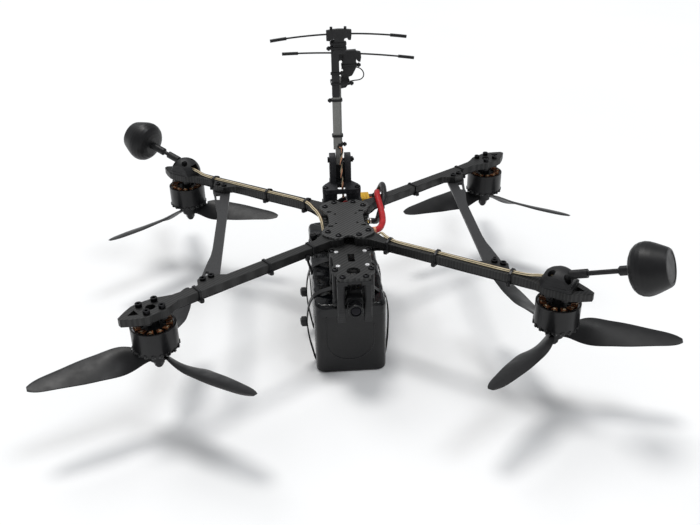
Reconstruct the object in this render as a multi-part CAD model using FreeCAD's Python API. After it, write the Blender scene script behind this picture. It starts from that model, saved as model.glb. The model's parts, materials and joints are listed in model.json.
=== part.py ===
import FreeCAD, Part
import math
import os

from FreeCAD import Vector

# Long-range quadcopter with a slung battery pack, in millimetres.
# The origin is on the floor below the frame's centre. +Z is up, -Y is the flying direction
# (the camera's side) and +X is the craft's right when it is seen from the camera's side.

# Driving dimensions: the battery and the stack of plates above it
cell_diameter = 21.0
cell_height = 70.0
cell_gap = 0.2
cells_across = 3
cells_along = 8
wrap_wall = 0.6
end_board = 0.9
battery_centre_x = -2.5
battery_front_y = -79.5
battery_corner_radius = 9.0
pad_thickness = 3.0
battery_plate_thickness = 2.0
bay_height = 30.0
mid_plate_thickness = 2.5
arm_thickness = 7.0
top_plate_thickness = 2.0

# Driving dimensions: motors, arms and propellers
motor_x = 164.0
motor_y = 137.0
arm_angle = 35.0
arm_half_width = 5.2
rim_below_arm = 8.4
bell_radius = 18.55
bell_height = 22.1
motor_bolt_circle = 19.0
propeller_radius = 101.6
propeller_pitch = 127.0
shaft_radius = 2.5
running_clearance = 0.05

# Driving dimensions: camera, bracket and mast
camera_width = 14.0
camera_pivot_y = -91.0
camera_pivot_below_mid = 23.9
upright_drop = 43.5
bracket_height = 13.8
mast_pivot_y = 79.0
mast_pivot_above_bracket = 22.7
mast_top_above_pivot = 121.0
pod_tilts = (20.3, 16.0)

# Screw sizes
m3_radius = 1.5
m3_clear_radius = 1.6
m2_radius = 1.0

# The battery's outside, worked out from its cells
cell_pitch = cell_diameter + cell_gap
battery_width = cells_across * cell_pitch + 2 * wrap_wall
battery_length = cells_along * cell_pitch + 2 * wrap_wall
battery_height = cell_height + 2 * (wrap_wall + end_board)

# Levels worked out from the stack
z_pad = battery_height
z_battery_plate = z_pad + pad_thickness
z_bay = z_battery_plate + battery_plate_thickness
z_mid = z_bay + bay_height
z_arm = z_mid + mid_plate_thickness
z_top_plate = z_arm + arm_thickness
z_top = z_top_plate + top_plate_thickness
z_rim = z_arm - rim_below_arm
z_bell_bottom = z_rim - bell_height
z_flange = z_arm + bracket_height
z_mast_pivot = z_flange + mast_pivot_above_bracket
z_mast_top = z_mast_pivot + mast_top_above_pivot
z_camera = z_mid - camera_pivot_below_mid
battery_left = battery_centre_x - battery_width / 2
battery_right = battery_centre_x + battery_width / 2
battery_rear_y = battery_front_y + battery_length

# The four corners: name, side in X, side in Y
corners = [
    ("front_left", -1, -1),
    ("front_right", 1, -1),
    ("rear_left", -1, 1),
    ("rear_right", 1, 1),
]
pod_corners = [corners[1], corners[2]]

os.makedirs("parts", exist_ok=True)


# ---------------------------------------------------------------- helpers

def save(node, solids):
    """Write one node as a group of separate solids."""
    flat = []
    for item in solids:
        flat.extend(item.Solids)
    for solid in flat:
        if not solid.isValid():
            print("invalid solid in", node)
    Part.makeCompound(flat).exportStep("parts/" + node + ".step")
    print(node, len(flat), "solids", round(sum(s.Volume for s in flat)), "mm3")


def box(x0, x1, y0, y1, z0, z1):
    return Part.makeBox(x1 - x0, y1 - y0, z1 - z0, Vector(x0, y0, z0))


def rod(start, end, radius):
    direction = end - start
    return Part.makeCylinder(radius, direction.Length, start, direction)


def post(x, y, z0, z1, radius):
    return rod(Vector(x, y, z0), Vector(x, y, z1), radius)


def prism(points, z0, z1):
    """Extrude a closed outline of (x, y) points from z0 up to z1."""
    loop = [Vector(x, y, z0) for x, y in points]
    loop.append(loop[0])
    return Part.Face(Part.makePolygon(loop)).extrude(Vector(0, 0, z1 - z0))


def prism_xz(points, y0, y1):
    """Extrude a closed outline of (x, z) points from y0 to y1."""
    loop = [Vector(x, y0, z) for x, z in points]
    loop.append(loop[0])
    return Part.Face(Part.makePolygon(loop)).extrude(Vector(0, y1 - y0, 0))


def prism_yz(points, x0, x1):
    """Extrude a closed outline of (y, z) points from x0 to x1."""
    loop = [Vector(x0, y, z) for y, z in points]
    loop.append(loop[0])
    return Part.Face(Part.makePolygon(loop)).extrude(Vector(x1 - x0, 0, 0))


def upright_edges(solid):
    """The straight edges that run along Z."""
    found = []
    for edge in solid.Edges:
        if len(edge.Vertexes) == 2:
            run = edge.Vertexes[1].Point - edge.Vertexes[0].Point
            if abs(run.x) < 1e-6 and abs(run.y) < 1e-6:
                found.append(edge)
    return found


def rounded(solid, radius):
    return solid.makeFillet(radius, upright_edges(solid))


def mirrored_outline(points):
    """Close an outline whose right half (x >= 0) is listed from front to back."""
    left = [(-x, y) for x, y in reversed(points) if x > 0]
    return points + left


def cut_all(solid, tools):
    for tool in tools:
        solid = solid.cut(tool)
    return solid


def fuse_all(solids):
    whole = solids[0]
    for solid in solids[1:]:
        whole = whole.fuse(solid)
    return whole.removeSplitter()


def revolve(profile, place):
    """Turn a closed (radius, height) profile about the local Z axis, then place it."""
    loop = [Vector(r, 0, h) for r, h in profile]
    loop.append(loop[0])
    face = Part.Face(Part.makePolygon(loop))
    solid = face.revolve(Vector(0, 0, 0), Vector(0, 0, 1), 360)
    solid.Placement = place
    return solid


def hexagon(x, y, z0, z1, across_flats):
    corner = across_flats / math.sqrt(3)
    points = []
    for k in range(6):
        turn = math.radians(60 * k)
        points.append((x + corner * math.cos(turn), y + corner * math.sin(turn)))
    return prism(points, z0, z1)


def tube(name, points, radius):
    """A round lead: straight runs joined by tangent arcs, as large as the runs allow."""
    pts = [Vector(*p) for p in points]
    edges = []
    start = pts[0]
    radii = []
    for before, here, after in zip(pts, pts[1:], pts[2:]):
        run_in = here - before
        run_out = after - here
        half_turn = run_in.getAngle(run_out) / 2
        arc_radius = 0.45 * min(run_in.Length, run_out.Length) / math.tan(half_turn)
        radii.append(round(arc_radius, 1))
        reach = arc_radius * math.tan(half_turn)
        to_start = (before - here).normalize()
        to_end = (after - here).normalize()
        arc_start = here + to_start * reach
        arc_end = here + to_end * reach
        middle_line = (to_start + to_end).normalize()
        arc_middle = here + middle_line * (arc_radius / math.cos(half_turn) - arc_radius)
        edges.append(Part.LineSegment(start, arc_start).toShape())
        edges.append(Part.Arc(arc_start, arc_middle, arc_end).toShape())
        start = arc_end
    edges.append(Part.LineSegment(start, pts[-1]).toShape())
    path = Part.Wire(edges)
    section = Part.Wire(Part.makeCircle(radius, pts[0], pts[1] - pts[0]))
    solid = path.makePipeShell([section], True, False)
    expected = math.pi * radius ** 2 * path.Length
    print(name, "length", round(path.Length, 1), "radii", radii, "volume ratio",
          round(solid.Volume / expected, 3))
    return solid


def cap_screw(x, y, z_seat, depth, head_radius=2.75, head_height=3.0):
    """A socket cap screw with its head on z_seat and its shank going down."""
    head = post(x, y, z_seat, z_seat + head_height, head_radius)
    socket = hexagon(x, y, z_seat + head_height - 1.6, z_seat + head_height, 2.5)
    shank = post(x, y, z_seat - depth, z_seat, m3_radius)
    return head.cut(socket).fuse(shank).removeSplitter()


def button_screw(x, y, z_seat, depth, up=1):
    """A domed button-head screw. up is -1 where the head faces down."""
    profile = [(0, -depth), (m3_radius, -depth), (m3_radius, 0), (2.85, 0), (2.8, 0.5),
               (2.3, 1.2), (1.5, 1.6), (1.15, 1.65), (1.15, 0.7), (0, 0.7)]
    turn = FreeCAD.Rotation(Vector(1, 0, 0), 0 if up > 0 else 180)
    return revolve(profile, FreeCAD.Placement(Vector(x, y, z_seat), turn))


def nut(x, y, z0, z1):
    return hexagon(x, y, z0, z1, 5.5).cut(post(x, y, z0, z1, m3_radius))


# ------------------------------------------------- places along an arm
# s runs outward from the motor's axis along the arm, and t points from the arm's
# centre line towards the middle of the craft's side.

def arm_directions(corner):
    name, side_x, side_y = corner
    turn = math.radians(arm_angle)
    outward = Vector(side_x * math.cos(turn), side_y * math.sin(turn), 0)
    inward = Vector(side_x * math.sin(turn), -side_y * math.cos(turn), 0)
    return outward, inward


def arm_point(corner, s, t, z):
    name, side_x, side_y = corner
    outward, inward = arm_directions(corner)
    return Vector(side_x * motor_x, side_y * motor_y, z) + outward * s + inward * t


def arm_prism(corner, outline, z0, z1):
    points = [arm_point(corner, s, t, 0) for s, t in outline]
    return prism([(p.x, p.y) for p in points], z0, z1)


def arm_block(corner, s0, s1, t0, t1, z0, z1):
    return arm_prism(corner, [(s0, t0), (s1, t0), (s1, t1), (s0, t1)], z0, z1)


def arm_post(corner, s, t, z0, z1, radius):
    low = arm_point(corner, s, t, z0)
    return post(low.x, low.y, z0, z1, radius)


def side_profile(corner, outline, t0, t1):
    """Extrude a closed outline of (s, z) points across the arm from t0 to t1."""
    outward, inward = arm_directions(corner)
    loop = [arm_point(corner, s, t0, z) for s, z in outline]
    loop.append(loop[0])
    return Part.Face(Part.makePolygon(loop)).extrude(inward * (t1 - t0))


# Where the screws go
screw_offset = motor_bolt_circle / 2 / math.sqrt(2)
motor_screw_places = [(screw_offset * a, screw_offset * b) for a in (-1, 1) for b in (-1, 1)]
root_screws = [(9.3, 35.1), (18.5, 26.9)]
root_screw_places = [(sx * x, sy * y) for sx in (-1, 1) for sy in (-1, 1) for x, y in root_screws]
brace_screws = [(126.3, 98.2), (119.8, 93.6)]
brace_screw_places = [(sx * x, sy * y) for sx in (-1, 1) for sy in (-1, 1) for x, y in brace_screws]
stack_half = 30.5 / 2
small_stack_half = 20.0 / 2
transmitter_half = 25.5 / 2
transmitter_y = -64.0
transmitter_places = [(a * transmitter_half, transmitter_y + b * transmitter_half)
                      for a in (-1, 1) for b in (-1, 1)]
front_standoffs = [(a * x, y) for a in (-1, 1) for x, y in ((15.8, -82.0), (16.4, -47.6))]
bracket_screws = [(a * 15.9, 60.5) for a in (-1, 1)]
standoff_places = front_standoffs + bracket_screws
camera_mount_screws = [(a * 10.0, -95.0) for a in (-1, 1)]
tie_width = 2.6
tie_thickness = 1.2
arm_tie_places = [-41.5, -110.0, -157.0]
sleeve_thickness = 2.4
battery_tie_width = 7.0
battery_tie_thickness = 1.3
battery_tie_ys = [-58.0, -5.0, 52.0]


# ---------------------------------------------------------------- plates

def make_top_plate():
    outline = [(0, -35.2), (3.5, -36.0), (6.0, -40.0), (13.0, -40.6), (16.5, -38.0),
               (20.5, -35.5), (23.8, -31.0), (23.8, -24.0), (20.5, -17.5), (16.5, -9.5),
               (16.5, 9.5), (20.5, 17.5), (23.8, 24.0), (23.8, 31.0), (20.5, 35.5),
               (16.5, 38.0), (13.0, 40.6), (6.0, 40.0), (3.5, 36.0), (0, 35.2)]
    plate = rounded(prism(mirrored_outline(outline), z_top_plate, z_top), 1.2)
    holes = [post(x, y, z_top_plate, z_top, m3_clear_radius) for x, y in root_screw_places]
    for a in (-1, 1):
        for b in (-1, 1):
            x, y = a * stack_half, b * stack_half
            slot = [post(x - 0.9, y, z_top_plate, z_top, 1.6),
                    post(x + 0.9, y, z_top_plate, z_top, 1.6),
                    box(x - 0.9, x + 0.9, y - 1.6, y + 1.6, z_top_plate, z_top)]
            holes.append(fuse_all(slot))
            holes.append(post(a * small_stack_half, b * small_stack_half,
                              z_top_plate, z_top, 1.25))
    save("top_plate", [cut_all(plate, holes)])


def make_mid_plate():
    outline = [(0, -97.3), (6.0, -98.8), (12.5, -98.8), (14.2, -96.5), (14.6, -89.5),
               (18.6, -85.5), (18.6, -78.0), (16.4, -72.5), (16.4, -56.0), (19.0, -50.5),
               (19.0, -43.0), (23.8, -33.0), (23.8, -22.0), (18.0, -14.0), (18.0, 14.0),
               (23.8, 22.0), (23.8, 33.0), (18.5, 41.0), (16.5, 50.0), (20.0, 56.0),
               (20.0, 65.0), (16.0, 69.0), (10.0, 69.0), (7.0, 62.0), (7.0, 51.0), (0, 48.5)]
    plate = rounded(prism(mirrored_outline(outline), z_mid, z_arm), 1.2)
    holes = [post(x, y, z_mid, z_arm, m3_clear_radius)
             for x, y in root_screw_places + standoff_places + camera_mount_screws]
    holes += [post(x, y, z_mid, z_arm, m2_radius + 0.1) for x, y in transmitter_places]
    holes.append(box(-3.0, 3.0, -68.0, -54.0, z_mid, z_arm))
    holes.append(post(0, -84.5, z_mid, z_arm, 6.0))
    for a in (-1, 1):
        for b in (-1, 1):
            holes.append(post(a * stack_half, b * stack_half, z_mid, z_arm, m3_clear_radius))
    holes.append(rounded(box(-9.0, 9.0, -9.0, 9.0, z_mid, z_arm), 3.0))
    save("mid_plate", [cut_all(plate, holes)])


def make_battery_plate():
    outline = [(0, -80.5), (9.5, -80.5), (11.5, -85.0), (18.4, -84.6), (18.4, -77.0),
               (17.0, -71.0), (17.0, -55.0), (19.2, -51.5), (19.2, -43.5), (17.0, -40.0),
               (17.0, 52.0), (19.0, 57.0), (19.0, 64.5), (15.5, 68.0), (0, 68.0)]
    plate = rounded(prism(mirrored_outline(outline), z_battery_plate, z_bay), 1.2)
    holes = [post(x, y, z_battery_plate, z_bay, m3_clear_radius) for x, y in standoff_places]
    for y in (-35.0, -20.0, 12.0, 32.0):
        window = [(-8.0, y - 5.0), (8.0, y - 5.0), (8.0, y + 5.0), (-8.0, y + 5.0)]
        holes.append(rounded(prism(window, z_battery_plate, z_bay), 3.0))
    save("battery_plate", [cut_all(plate, holes)])


# ---------------------------------------------------------------- arms and braces

def make_arm(corner):
    outline = [(27.0, -1.8), (27.0, 1.8), (20.0, 6.6), (12.0, 11.0), (7.0, 11.9), (-8.5, 11.4),
               (-15.0, 8.4), (-22.0, 5.9), (-36.0, arm_half_width), (-45.5, arm_half_width),
               (-49.5, 13.2), (-51.5, 14.3), (-62.5, 14.3), (-68.5, 9.0),
               (-73.0, arm_half_width), (-166.0, arm_half_width), (-176.0, 9.8), (-179.5, 10.8),
               (-188.5, 10.8), (-191.0, 8.0), (-191.0, -6.0), (-187.8, -9.0), (-182.0, -8.4),
               (-176.0, -arm_half_width), (-36.0, -arm_half_width), (-22.0, -5.9),
               (-15.0, -8.4), (-8.5, -11.4), (7.0, -11.9), (12.0, -11.0), (20.0, -6.6)]
    arm = arm_prism(corner, outline, z_arm, z_top_plate)
    arm = arm.makeChamfer(0.35, [e for e in arm.Edges if e.BoundBox.ZLength < 1e-6])
    holes = [arm_post(corner, s, t, z_arm, z_top_plate, m3_clear_radius)
             for s, t in motor_screw_places]
    holes.append(arm_post(corner, 0, 0, z_arm, z_top_plate, 4.0))
    holes.append(arm_prism(corner, [(19.8, 0), (12.2, 4.2), (12.2, -4.2)], z_arm, z_top_plate))
    holes += [post(x, y, z_arm, z_top_plate, m3_clear_radius)
              for x, y in root_screw_places + brace_screw_places]
    save("arm_" + corner[0], [cut_all(arm, holes)])


def brace(side_x):
    half = [(114.3, 0), (114.3, 94.8), (130.6, 106.2), (132.6, 103.5), (132.2, 97.0),
            (130.4, 88.0), (128.4, 72.0), (126.4, 57.0), (124.4, 45.0), (123.6, 32.0),
            (123.6, 0)]
    back = [(side_x * x, y) for x, y in half if y > 0]
    front = [(side_x * x, -y) for x, y in reversed(half) if y > 0]
    plate = rounded(prism(back + front, z_mid, z_arm), 1.0)
    window = [(123.9, 72.5), (126.4, 72.3), (128.3, 89.0), (124.1, 89.0)]
    holes = []
    for side_y in (-1, 1):
        points = [(side_x * x, side_y * y) for x, y in window]
        holes.append(prism(points, z_mid, z_arm))
    holes += [post(x, y, z_mid, z_arm, m3_clear_radius) for x, y in brace_screw_places]
    return cut_all(plate, holes)


# ---------------------------------------------------------------- fasteners

def make_fasteners():
    frame = []
    for x, y in root_screw_places:
        frame.append(button_screw(x, y, z_top, z_top - z_mid + 2.4))
        frame.append(nut(x, y, z_mid - 2.4, z_mid))
    save("frame_screws", frame)

    brace = []
    for x, y in brace_screw_places:
        brace.append(cap_screw(x, y, z_top_plate, z_top_plate - z_mid + 2.4,
                               head_height=2.0))
        brace.append(nut(x, y, z_mid - 2.4, z_mid))
    save("brace_screws", brace)

    motor = []
    for corner in corners:
        seat = z_top_plate + (pod_base if corner in pod_corners else 0)
        for s, t in motor_screw_places:
            place = arm_point(corner, s, t, 0)
            motor.append(cap_screw(place.x, place.y, seat, seat - z_arm + 2.4))
    save("motor_screws", motor)

    save("standoffs", [post(x, y, z_bay, z_mid, 2.5).cut(post(x, y, z_bay, z_mid, m3_radius))
                       for x, y in standoff_places])

    housing = [button_screw(x, y, z_arm, mid_plate_thickness + 8.0)
               for x, y in front_standoffs]
    housing += [button_screw(x, y, z_arm, mid_plate_thickness + 7.0)
                for x, y in camera_mount_screws]
    housing += [button_screw(x, y, z_flange, z_flange - z_mid + 8.0)
                for x, y in bracket_screws]
    housing += [button_screw(x, y, z_battery_plate, battery_plate_thickness + 8.0, up=-1)
                for x, y in standoff_places]
    save("housing_screws", housing)

    silver = []
    for x, y in transmitter_places:
        head = post(x, y, z_arm, z_arm + 1.3, 1.9)
        head = head.cut(hexagon(x, y, z_arm + 0.6, z_arm + 1.3, 1.3))
        shank = post(x, y, z_transmitter - 1.6, z_arm, m2_radius)
        silver.append(head.fuse(shank).removeSplitter())
    save("transmitter_screws", silver)


# ---------------------------------------------------------------- electronics in the bay

z_controller = z_mid - 8.0
z_transmitter = z_mid - 7.0
board_thickness = 1.6


def square_board(half_x, half_y, y_centre, z0, holes, hole_radius):
    outline = [(-half_x, y_centre - half_y), (half_x, y_centre - half_y),
               (half_x, y_centre + half_y), (-half_x, y_centre + half_y)]
    board = rounded(prism(outline, z0, z0 + board_thickness), 2.0)
    return cut_all(board, [post(x, y, z0, z0 + board_thickness, hole_radius)
                           for x, y in holes])


def make_electronics():
    stack_places = [(a * stack_half, b * stack_half) for a in (-1, 1) for b in (-1, 1)]
    # The speed controller lies between the arm roots, over the mid plate.
    z_esc = z_arm + 1.5
    esc = square_board(21.5, 17.8, 0, z_esc, stack_places, m3_radius)
    chips = []
    for row in (-1, 1):
        for column in range(6):
            x = -12.5 + 5.0 * column
            y0 = row * 8.0
            chips.append(box(x - 2.0, x + 2.0, y0 - 3.0, y0 + 3.0,
                             z_esc + board_thickness, z_esc + board_thickness + 1.2))
    save("speed_controller", [fuse_all([esc] + chips)])

    controller = square_board(18.0, 18.0, 0, z_controller, stack_places, m3_radius)
    parts = [box(-5.0, 5.0, -5.0, 5.0, z_controller - 1.4, z_controller),
             box(-11.5, -5.5, 4.0, 14.0, z_controller - 2.8, z_controller),
             box(4.5, 10.5, -14.0, -6.0, z_controller - 3.0, z_controller),
             box(-4.5, 4.5, 12.0, 18.0, z_controller - 3.2, z_controller)]
    save("flight_controller", [fuse_all([controller] + parts)])

    spacers = []
    for x, y in stack_places:
        spacers.append(post(x, y, z_controller + board_thickness, z_mid, 2.5)
                       .cut(post(x, y, z_controller, z_mid, m3_radius)))
        spacers.append(post(x, y, z_arm, z_esc, 2.5).cut(post(x, y, z_arm, z_esc, m3_radius)))
        bolt = post(x, y, z_controller, z_esc + board_thickness, m3_radius)
        low_nut = post(x, y, z_controller - 2.4, z_controller, 2.9)
        high_nut = post(x, y, z_esc + board_thickness, z_esc + board_thickness + 1.8, 2.7)
        spacers.append(fuse_all([bolt, low_nut, high_nut]))
    save("stack_spacers", spacers)

    can = box(-14.6, 14.6, transmitter_y - 14.6, transmitter_y + 14.6,
              z_transmitter - 6.0, z_transmitter)
    can = rounded(can, 1.5)
    fins = [box(-11.0, 11.0, transmitter_y - 10.5 + 3.5 * k, transmitter_y - 9.2 + 3.5 * k,
                z_transmitter - 9.5, z_transmitter - 6.0) for k in range(7)]
    bosses = [post(x, y, z_transmitter, z_mid, 2.0) for x, y in transmitter_places]
    holes = [post(x, y, z_transmitter - 1.6, z_mid, m2_radius) for x, y in transmitter_places]
    save("video_transmitter", [cut_all(fuse_all([can] + fins + bosses), holes)])

    body = rounded(box(-8.5, 8.5, 39.5, 50.5, z_mid - 6.0, z_mid), 1.5)
    save("receiver", [body])


# ---------------------------------------------------------------- camera and its mount

upright_inner = 8.3
upright_outer = 15.0
camera_side_screw_end = 17.0


def make_camera_mount():
    front = -99.0
    rear = -86.0
    z_low = z_mid - upright_drop
    side = [(front, z_mid), (rear, z_mid), (rear, z_low + 16.0), (rear - 3.0, z_low + 3.0),
            (front + 5.0, z_low), (front + 2.0, z_low + 1.5), (front, z_low + 12.0)]
    pieces = [box(-upright_outer, upright_outer, front, rear, z_mid - 4.0, z_mid)]
    for x0 in (-upright_outer, upright_inner):
        x1 = x0 + upright_outer - upright_inner
        plan = rounded(box(x0, x1, front, rear, z_low, z_mid), 2.0)
        pieces.append(prism_yz(side, x0, x1).common(plan))
    mount = fuse_all(pieces)
    holes = [post(x, y, z_mid - 7.0, z_mid, m3_radius) for x, y in camera_mount_screws]
    holes.append(rod(Vector(-upright_outer, camera_pivot_y, z_camera),
                     Vector(upright_outer, camera_pivot_y, z_camera),
                     m2_radius + running_clearance))
    holes.append(box(-6.0, 6.0, front, front + 2.5, z_mid - 4.0, z_mid))
    save("camera_mount", [cut_all(mount, holes)])


def make_camera():
    half = camera_width / 2
    body = box(-half, half, camera_pivot_y - 6.5, camera_pivot_y + 6.5,
               z_camera - half, z_camera + half)
    body = body.makeFillet(1.2, [e for e in body.Edges if e.BoundBox.YLength > 12.0])
    boss_start = Vector(-upright_inner + 0.3, camera_pivot_y, z_camera)
    boss_end = Vector(upright_inner - 0.3, camera_pivot_y, z_camera)
    body = body.fuse(rod(boss_start, boss_end, 3.0))
    ring = rod(Vector(0, camera_pivot_y - 8.5, z_camera),
               Vector(0, camera_pivot_y - 6.5, z_camera), 6.9)
    body = body.fuse(ring).removeSplitter()
    for x0, x1 in ((-upright_inner, -half + 3.0), (half - 3.0, upright_inner)):
        body = body.cut(rod(Vector(x0, camera_pivot_y, z_camera),
                            Vector(x1, camera_pivot_y, z_camera), m2_radius))
    save("camera_body", [body])

    lens_profile = [(0, 0), (6.0, 0), (6.0, 6.6), (6.3, 7.0), (6.3, 8.2), (5.7, 8.6),
                    (4.6, 8.6), (4.6, 7.8), (3.2, 8.2), (1.6, 8.45), (0, 8.5)]
    turn = FreeCAD.Rotation(Vector(0, 0, 1), Vector(0, -1, 0))
    place = FreeCAD.Placement(Vector(0, camera_pivot_y - 8.5, z_camera), turn)
    save("camera_lens", [revolve(lens_profile, place)])

    screws = []
    for side in (-1, 1):
        head = rod(Vector(side * (upright_outer + 0.3), camera_pivot_y, z_camera),
                   Vector(side * camera_side_screw_end, camera_pivot_y, z_camera), 1.9)
        shank = rod(Vector(side * (half - 3.0), camera_pivot_y, z_camera),
                    Vector(side * (upright_outer + 0.3), camera_pivot_y, z_camera), m2_radius)
        screws.append(head.fuse(shank).removeSplitter())
    save("camera_screws", screws)


# ---------------------------------------------------------------- rear bracket and mast

tower_inner = 4.5
tower_outer = 10.7
tower_half_depth = 7.0
flange_thickness = 4.8
mast_rear_y = mast_pivot_y + 2.0


def make_bracket():
    flange = [(0, 54.8), (15.0, 54.8), (19.2, 58.0), (19.2, 64.0), (17.0, 69.0),
              (11.2, 77.0), (11.2, 86.0), (0, 86.0)]
    z_under = z_flange - flange_thickness
    pieces = [rounded(prism(mirrored_outline(flange), z_under, z_flange), 2.0)]
    pieces.append(box(-tower_inner, tower_inner, mast_rear_y + 1.0,
                      mast_pivot_y + tower_half_depth, z_flange, z_mast_pivot - 4.0))
    for side in (-1, 1):
        inner, outer = sorted((side * 4.6, side * 19.0))
        pieces.append(rounded(box(inner, outer, 56.0, 66.5, z_arm, z_under), 3.0))
        inner, outer = sorted((side * tower_inner, side * tower_outer))
        pieces.append(box(inner, outer, mast_pivot_y - tower_half_depth,
                          mast_pivot_y + tower_half_depth, z_flange, z_mast_pivot))
        pieces.append(rod(Vector(inner, mast_pivot_y, z_mast_pivot),
                          Vector(outer, mast_pivot_y, z_mast_pivot), tower_half_depth))
    bracket = fuse_all(pieces)
    holes = [post(x, y, z_arm, z_flange, m3_radius) for x, y in bracket_screws]
    holes.append(rod(Vector(-tower_outer, mast_pivot_y, z_mast_pivot),
                     Vector(tower_outer, mast_pivot_y, z_mast_pivot), m3_radius))
    holes.append(rounded(box(-4.0, 4.0, 56.5, 71.0, z_under, z_flange), 2.0))
    for side in (-1, 1):
        groove = sorted((side * (tower_outer - 1.2), side * tower_outer))
        holes.append(box(groove[0], groove[1], 77.0, 81.0, z_flange + 3.0, z_mast_pivot - 6.0))
    save("rear_bracket", [cut_all(bracket, holes)])

    bolt = rod(Vector(-tower_outer - 1.8, mast_pivot_y, z_mast_pivot),
               Vector(-tower_outer, mast_pivot_y, z_mast_pivot), 2.85)
    shank = rod(Vector(-tower_outer, mast_pivot_y, z_mast_pivot),
                Vector(tower_outer + 3.5, mast_pivot_y, z_mast_pivot), m3_radius)
    nut_solid = rod(Vector(tower_outer, mast_pivot_y, z_mast_pivot),
                    Vector(tower_outer + 2.4, mast_pivot_y, z_mast_pivot), 2.9)
    save("mast_pivot_bolt", [bolt.fuse(shank).removeSplitter(), nut_solid.cut(shank)])


mast_left = -4.1
mast_right = 2.7
mast_front_y = mast_pivot_y - 2.0
z_bar_top = z_mast_pivot + 85.0
z_strip_bottom = z_mast_pivot + 66.0
strip_left = -6.2
strip_right = 1.2
lead_hole_x = 0.2
strip_front_y = mast_front_y - 2.2
clamp_rear_y = mast_rear_y + 6.3
z_upper_antenna = z_mast_pivot + 127.0
z_lower_antenna = z_mast_pivot + 104.0


def make_mast():
    foot = rod(Vector(mast_left, mast_pivot_y, z_mast_pivot),
               Vector(mast_right, mast_pivot_y, z_mast_pivot), 5.0)
    foot = foot.common(box(mast_left, mast_right, mast_front_y, mast_rear_y,
                           z_mast_pivot - 6.0, z_mast_pivot))
    bar = box(mast_left, mast_right, mast_front_y, mast_rear_y, z_mast_pivot, z_bar_top)
    mast = foot.fuse(bar).removeSplitter()
    holes = [rod(Vector(mast_left, mast_pivot_y, z_mast_pivot),
                 Vector(mast_right, mast_pivot_y, z_mast_pivot),
                 m3_radius + running_clearance),
             rod(Vector(lead_hole_x, mast_front_y, z_mast_pivot + 14.5),
                 Vector(lead_hole_x, mast_rear_y, z_mast_pivot + 14.5), 1.9)]
    save("mast_lower", [cut_all(mast, holes)])
    strip = box(strip_left, strip_right, strip_front_y, mast_front_y, z_strip_bottom, z_mast_top)
    strip = strip.makeFillet(1.2, [e for e in strip.Edges if e.BoundBox.YLength > 1.0])
    save("mast_upper", [strip])


def t_antenna(x_left, z_left, x_mid, z_mid_point, x_right, z_right, y):
    """A sprung wire bowed through three points, with a sleeve on each end."""
    arc = Part.Arc(Vector(x_left, y, z_left), Vector(x_mid, y, z_mid_point),
                   Vector(x_right, y, z_right))
    pieces = []
    for start, end, radius in ((0.0, 0.12, 1.5), (0.12, 0.88, 0.8), (0.88, 1.0, 1.5)):
        span = arc.LastParameter - arc.FirstParameter
        first = arc.FirstParameter + span * start
        last = arc.FirstParameter + span * end
        stretch = Part.Arc(arc.value(first), arc.value((first + last) / 2), arc.value(last))
        path = Part.Wire(stretch.toShape())
        section = Part.Wire(Part.makeCircle(radius, arc.value(first), arc.tangent(first)[0]))
        pieces.append(path.makePipeShell([section], True, False))
    return fuse_all(pieces)


def make_antennas():
    upper_y = mast_front_y - 4.2
    lower_y = mast_rear_y + 3.5
    upper = t_antenna(-62.5, z_upper_antenna - 4.6, 0.8, z_upper_antenna, 64.5,
                      z_upper_antenna - 4.6, upper_y)
    lower = t_antenna(-52.3, z_lower_antenna + 3.0, 10.6, z_lower_antenna + 1.6, 73.8,
                      z_lower_antenna - 5.0, lower_y)
    save("t_antenna_upper", [upper])
    save("t_antenna_lower", [lower])

    upper_outline = [(-10.4, 3.4), (-4.4, 4.3), (0.5, 4.6), (6.0, 4.4), (13.0, 3.6),
                     (13.0, -1.0), (12.4, -5.4), (10.0, -5.5), (8.8, -3.4), (6.6, -4.0),
                     (5.6, -6.2), (7.2, -7.6), (7.2, -18.5), (-4.2, -18.5), (-4.2, -8.2),
                     (-2.7, -6.2), (-3.5, -4.2), (-6.2, -4.6), (-7.0, -6.0), (-10.4, -5.7)]
    upper_clamp = prism_xz([(x, z_upper_antenna + z) for x, z in upper_outline],
                           upper_y - 2.6, strip_front_y)
    lower_outline = [(-3.0, 2.4), (8.2, 4.4), (17.8, 4.8), (18.5, 3.4), (22.4, 2.6),
                     (22.8, -2.2), (22.0, -6.4), (20.0, -6.1), (18.0, -3.8), (17.6, -12.4),
                     (16.4, -14.8), (13.9, -19.4), (10.8, -20.5), (10.0, -28.0), (7.6, -31.0),
                     (2.4, -31.9), (1.6, -28.0), (3.7, -23.7), (3.3, -20.3), (4.7, -18.3),
                     (5.4, -15.7), (4.8, -12.1), (5.5, -7.7), (3.7, -4.3), (-0.5, -5.6),
                     (-3.0, -4.6)]
    lower_clamp = prism_xz([(x, z_lower_antenna + z) for x, z in lower_outline],
                           mast_rear_y + 0.8, clamp_rear_y)
    lug = box(mast_left, 6.0, mast_rear_y, mast_rear_y + 2.5,
              z_lower_antenna - 31.0, z_lower_antenna - 21.0)
    upper_pegs = [post(x, upper_y, z_upper_antenna + 2.6, z_upper_antenna + 6.6, 1.3)
                  for x in (-5.8, 7.3)]
    save("antenna_clamps", [fuse_all([upper_clamp] + upper_pegs).cut(upper),
                            fuse_all([lower_clamp, lug]).cut(lower)])


def loop_tie(x0, x1, y0, y1, z, width, thickness):
    outer = box(x0 - thickness, x1 + thickness, y0 - thickness, y1 + thickness,
                z - width / 2, z + width / 2)
    return outer.cut(box(x0, x1, y0, y1, z - width / 2, z + width / 2))


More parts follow.
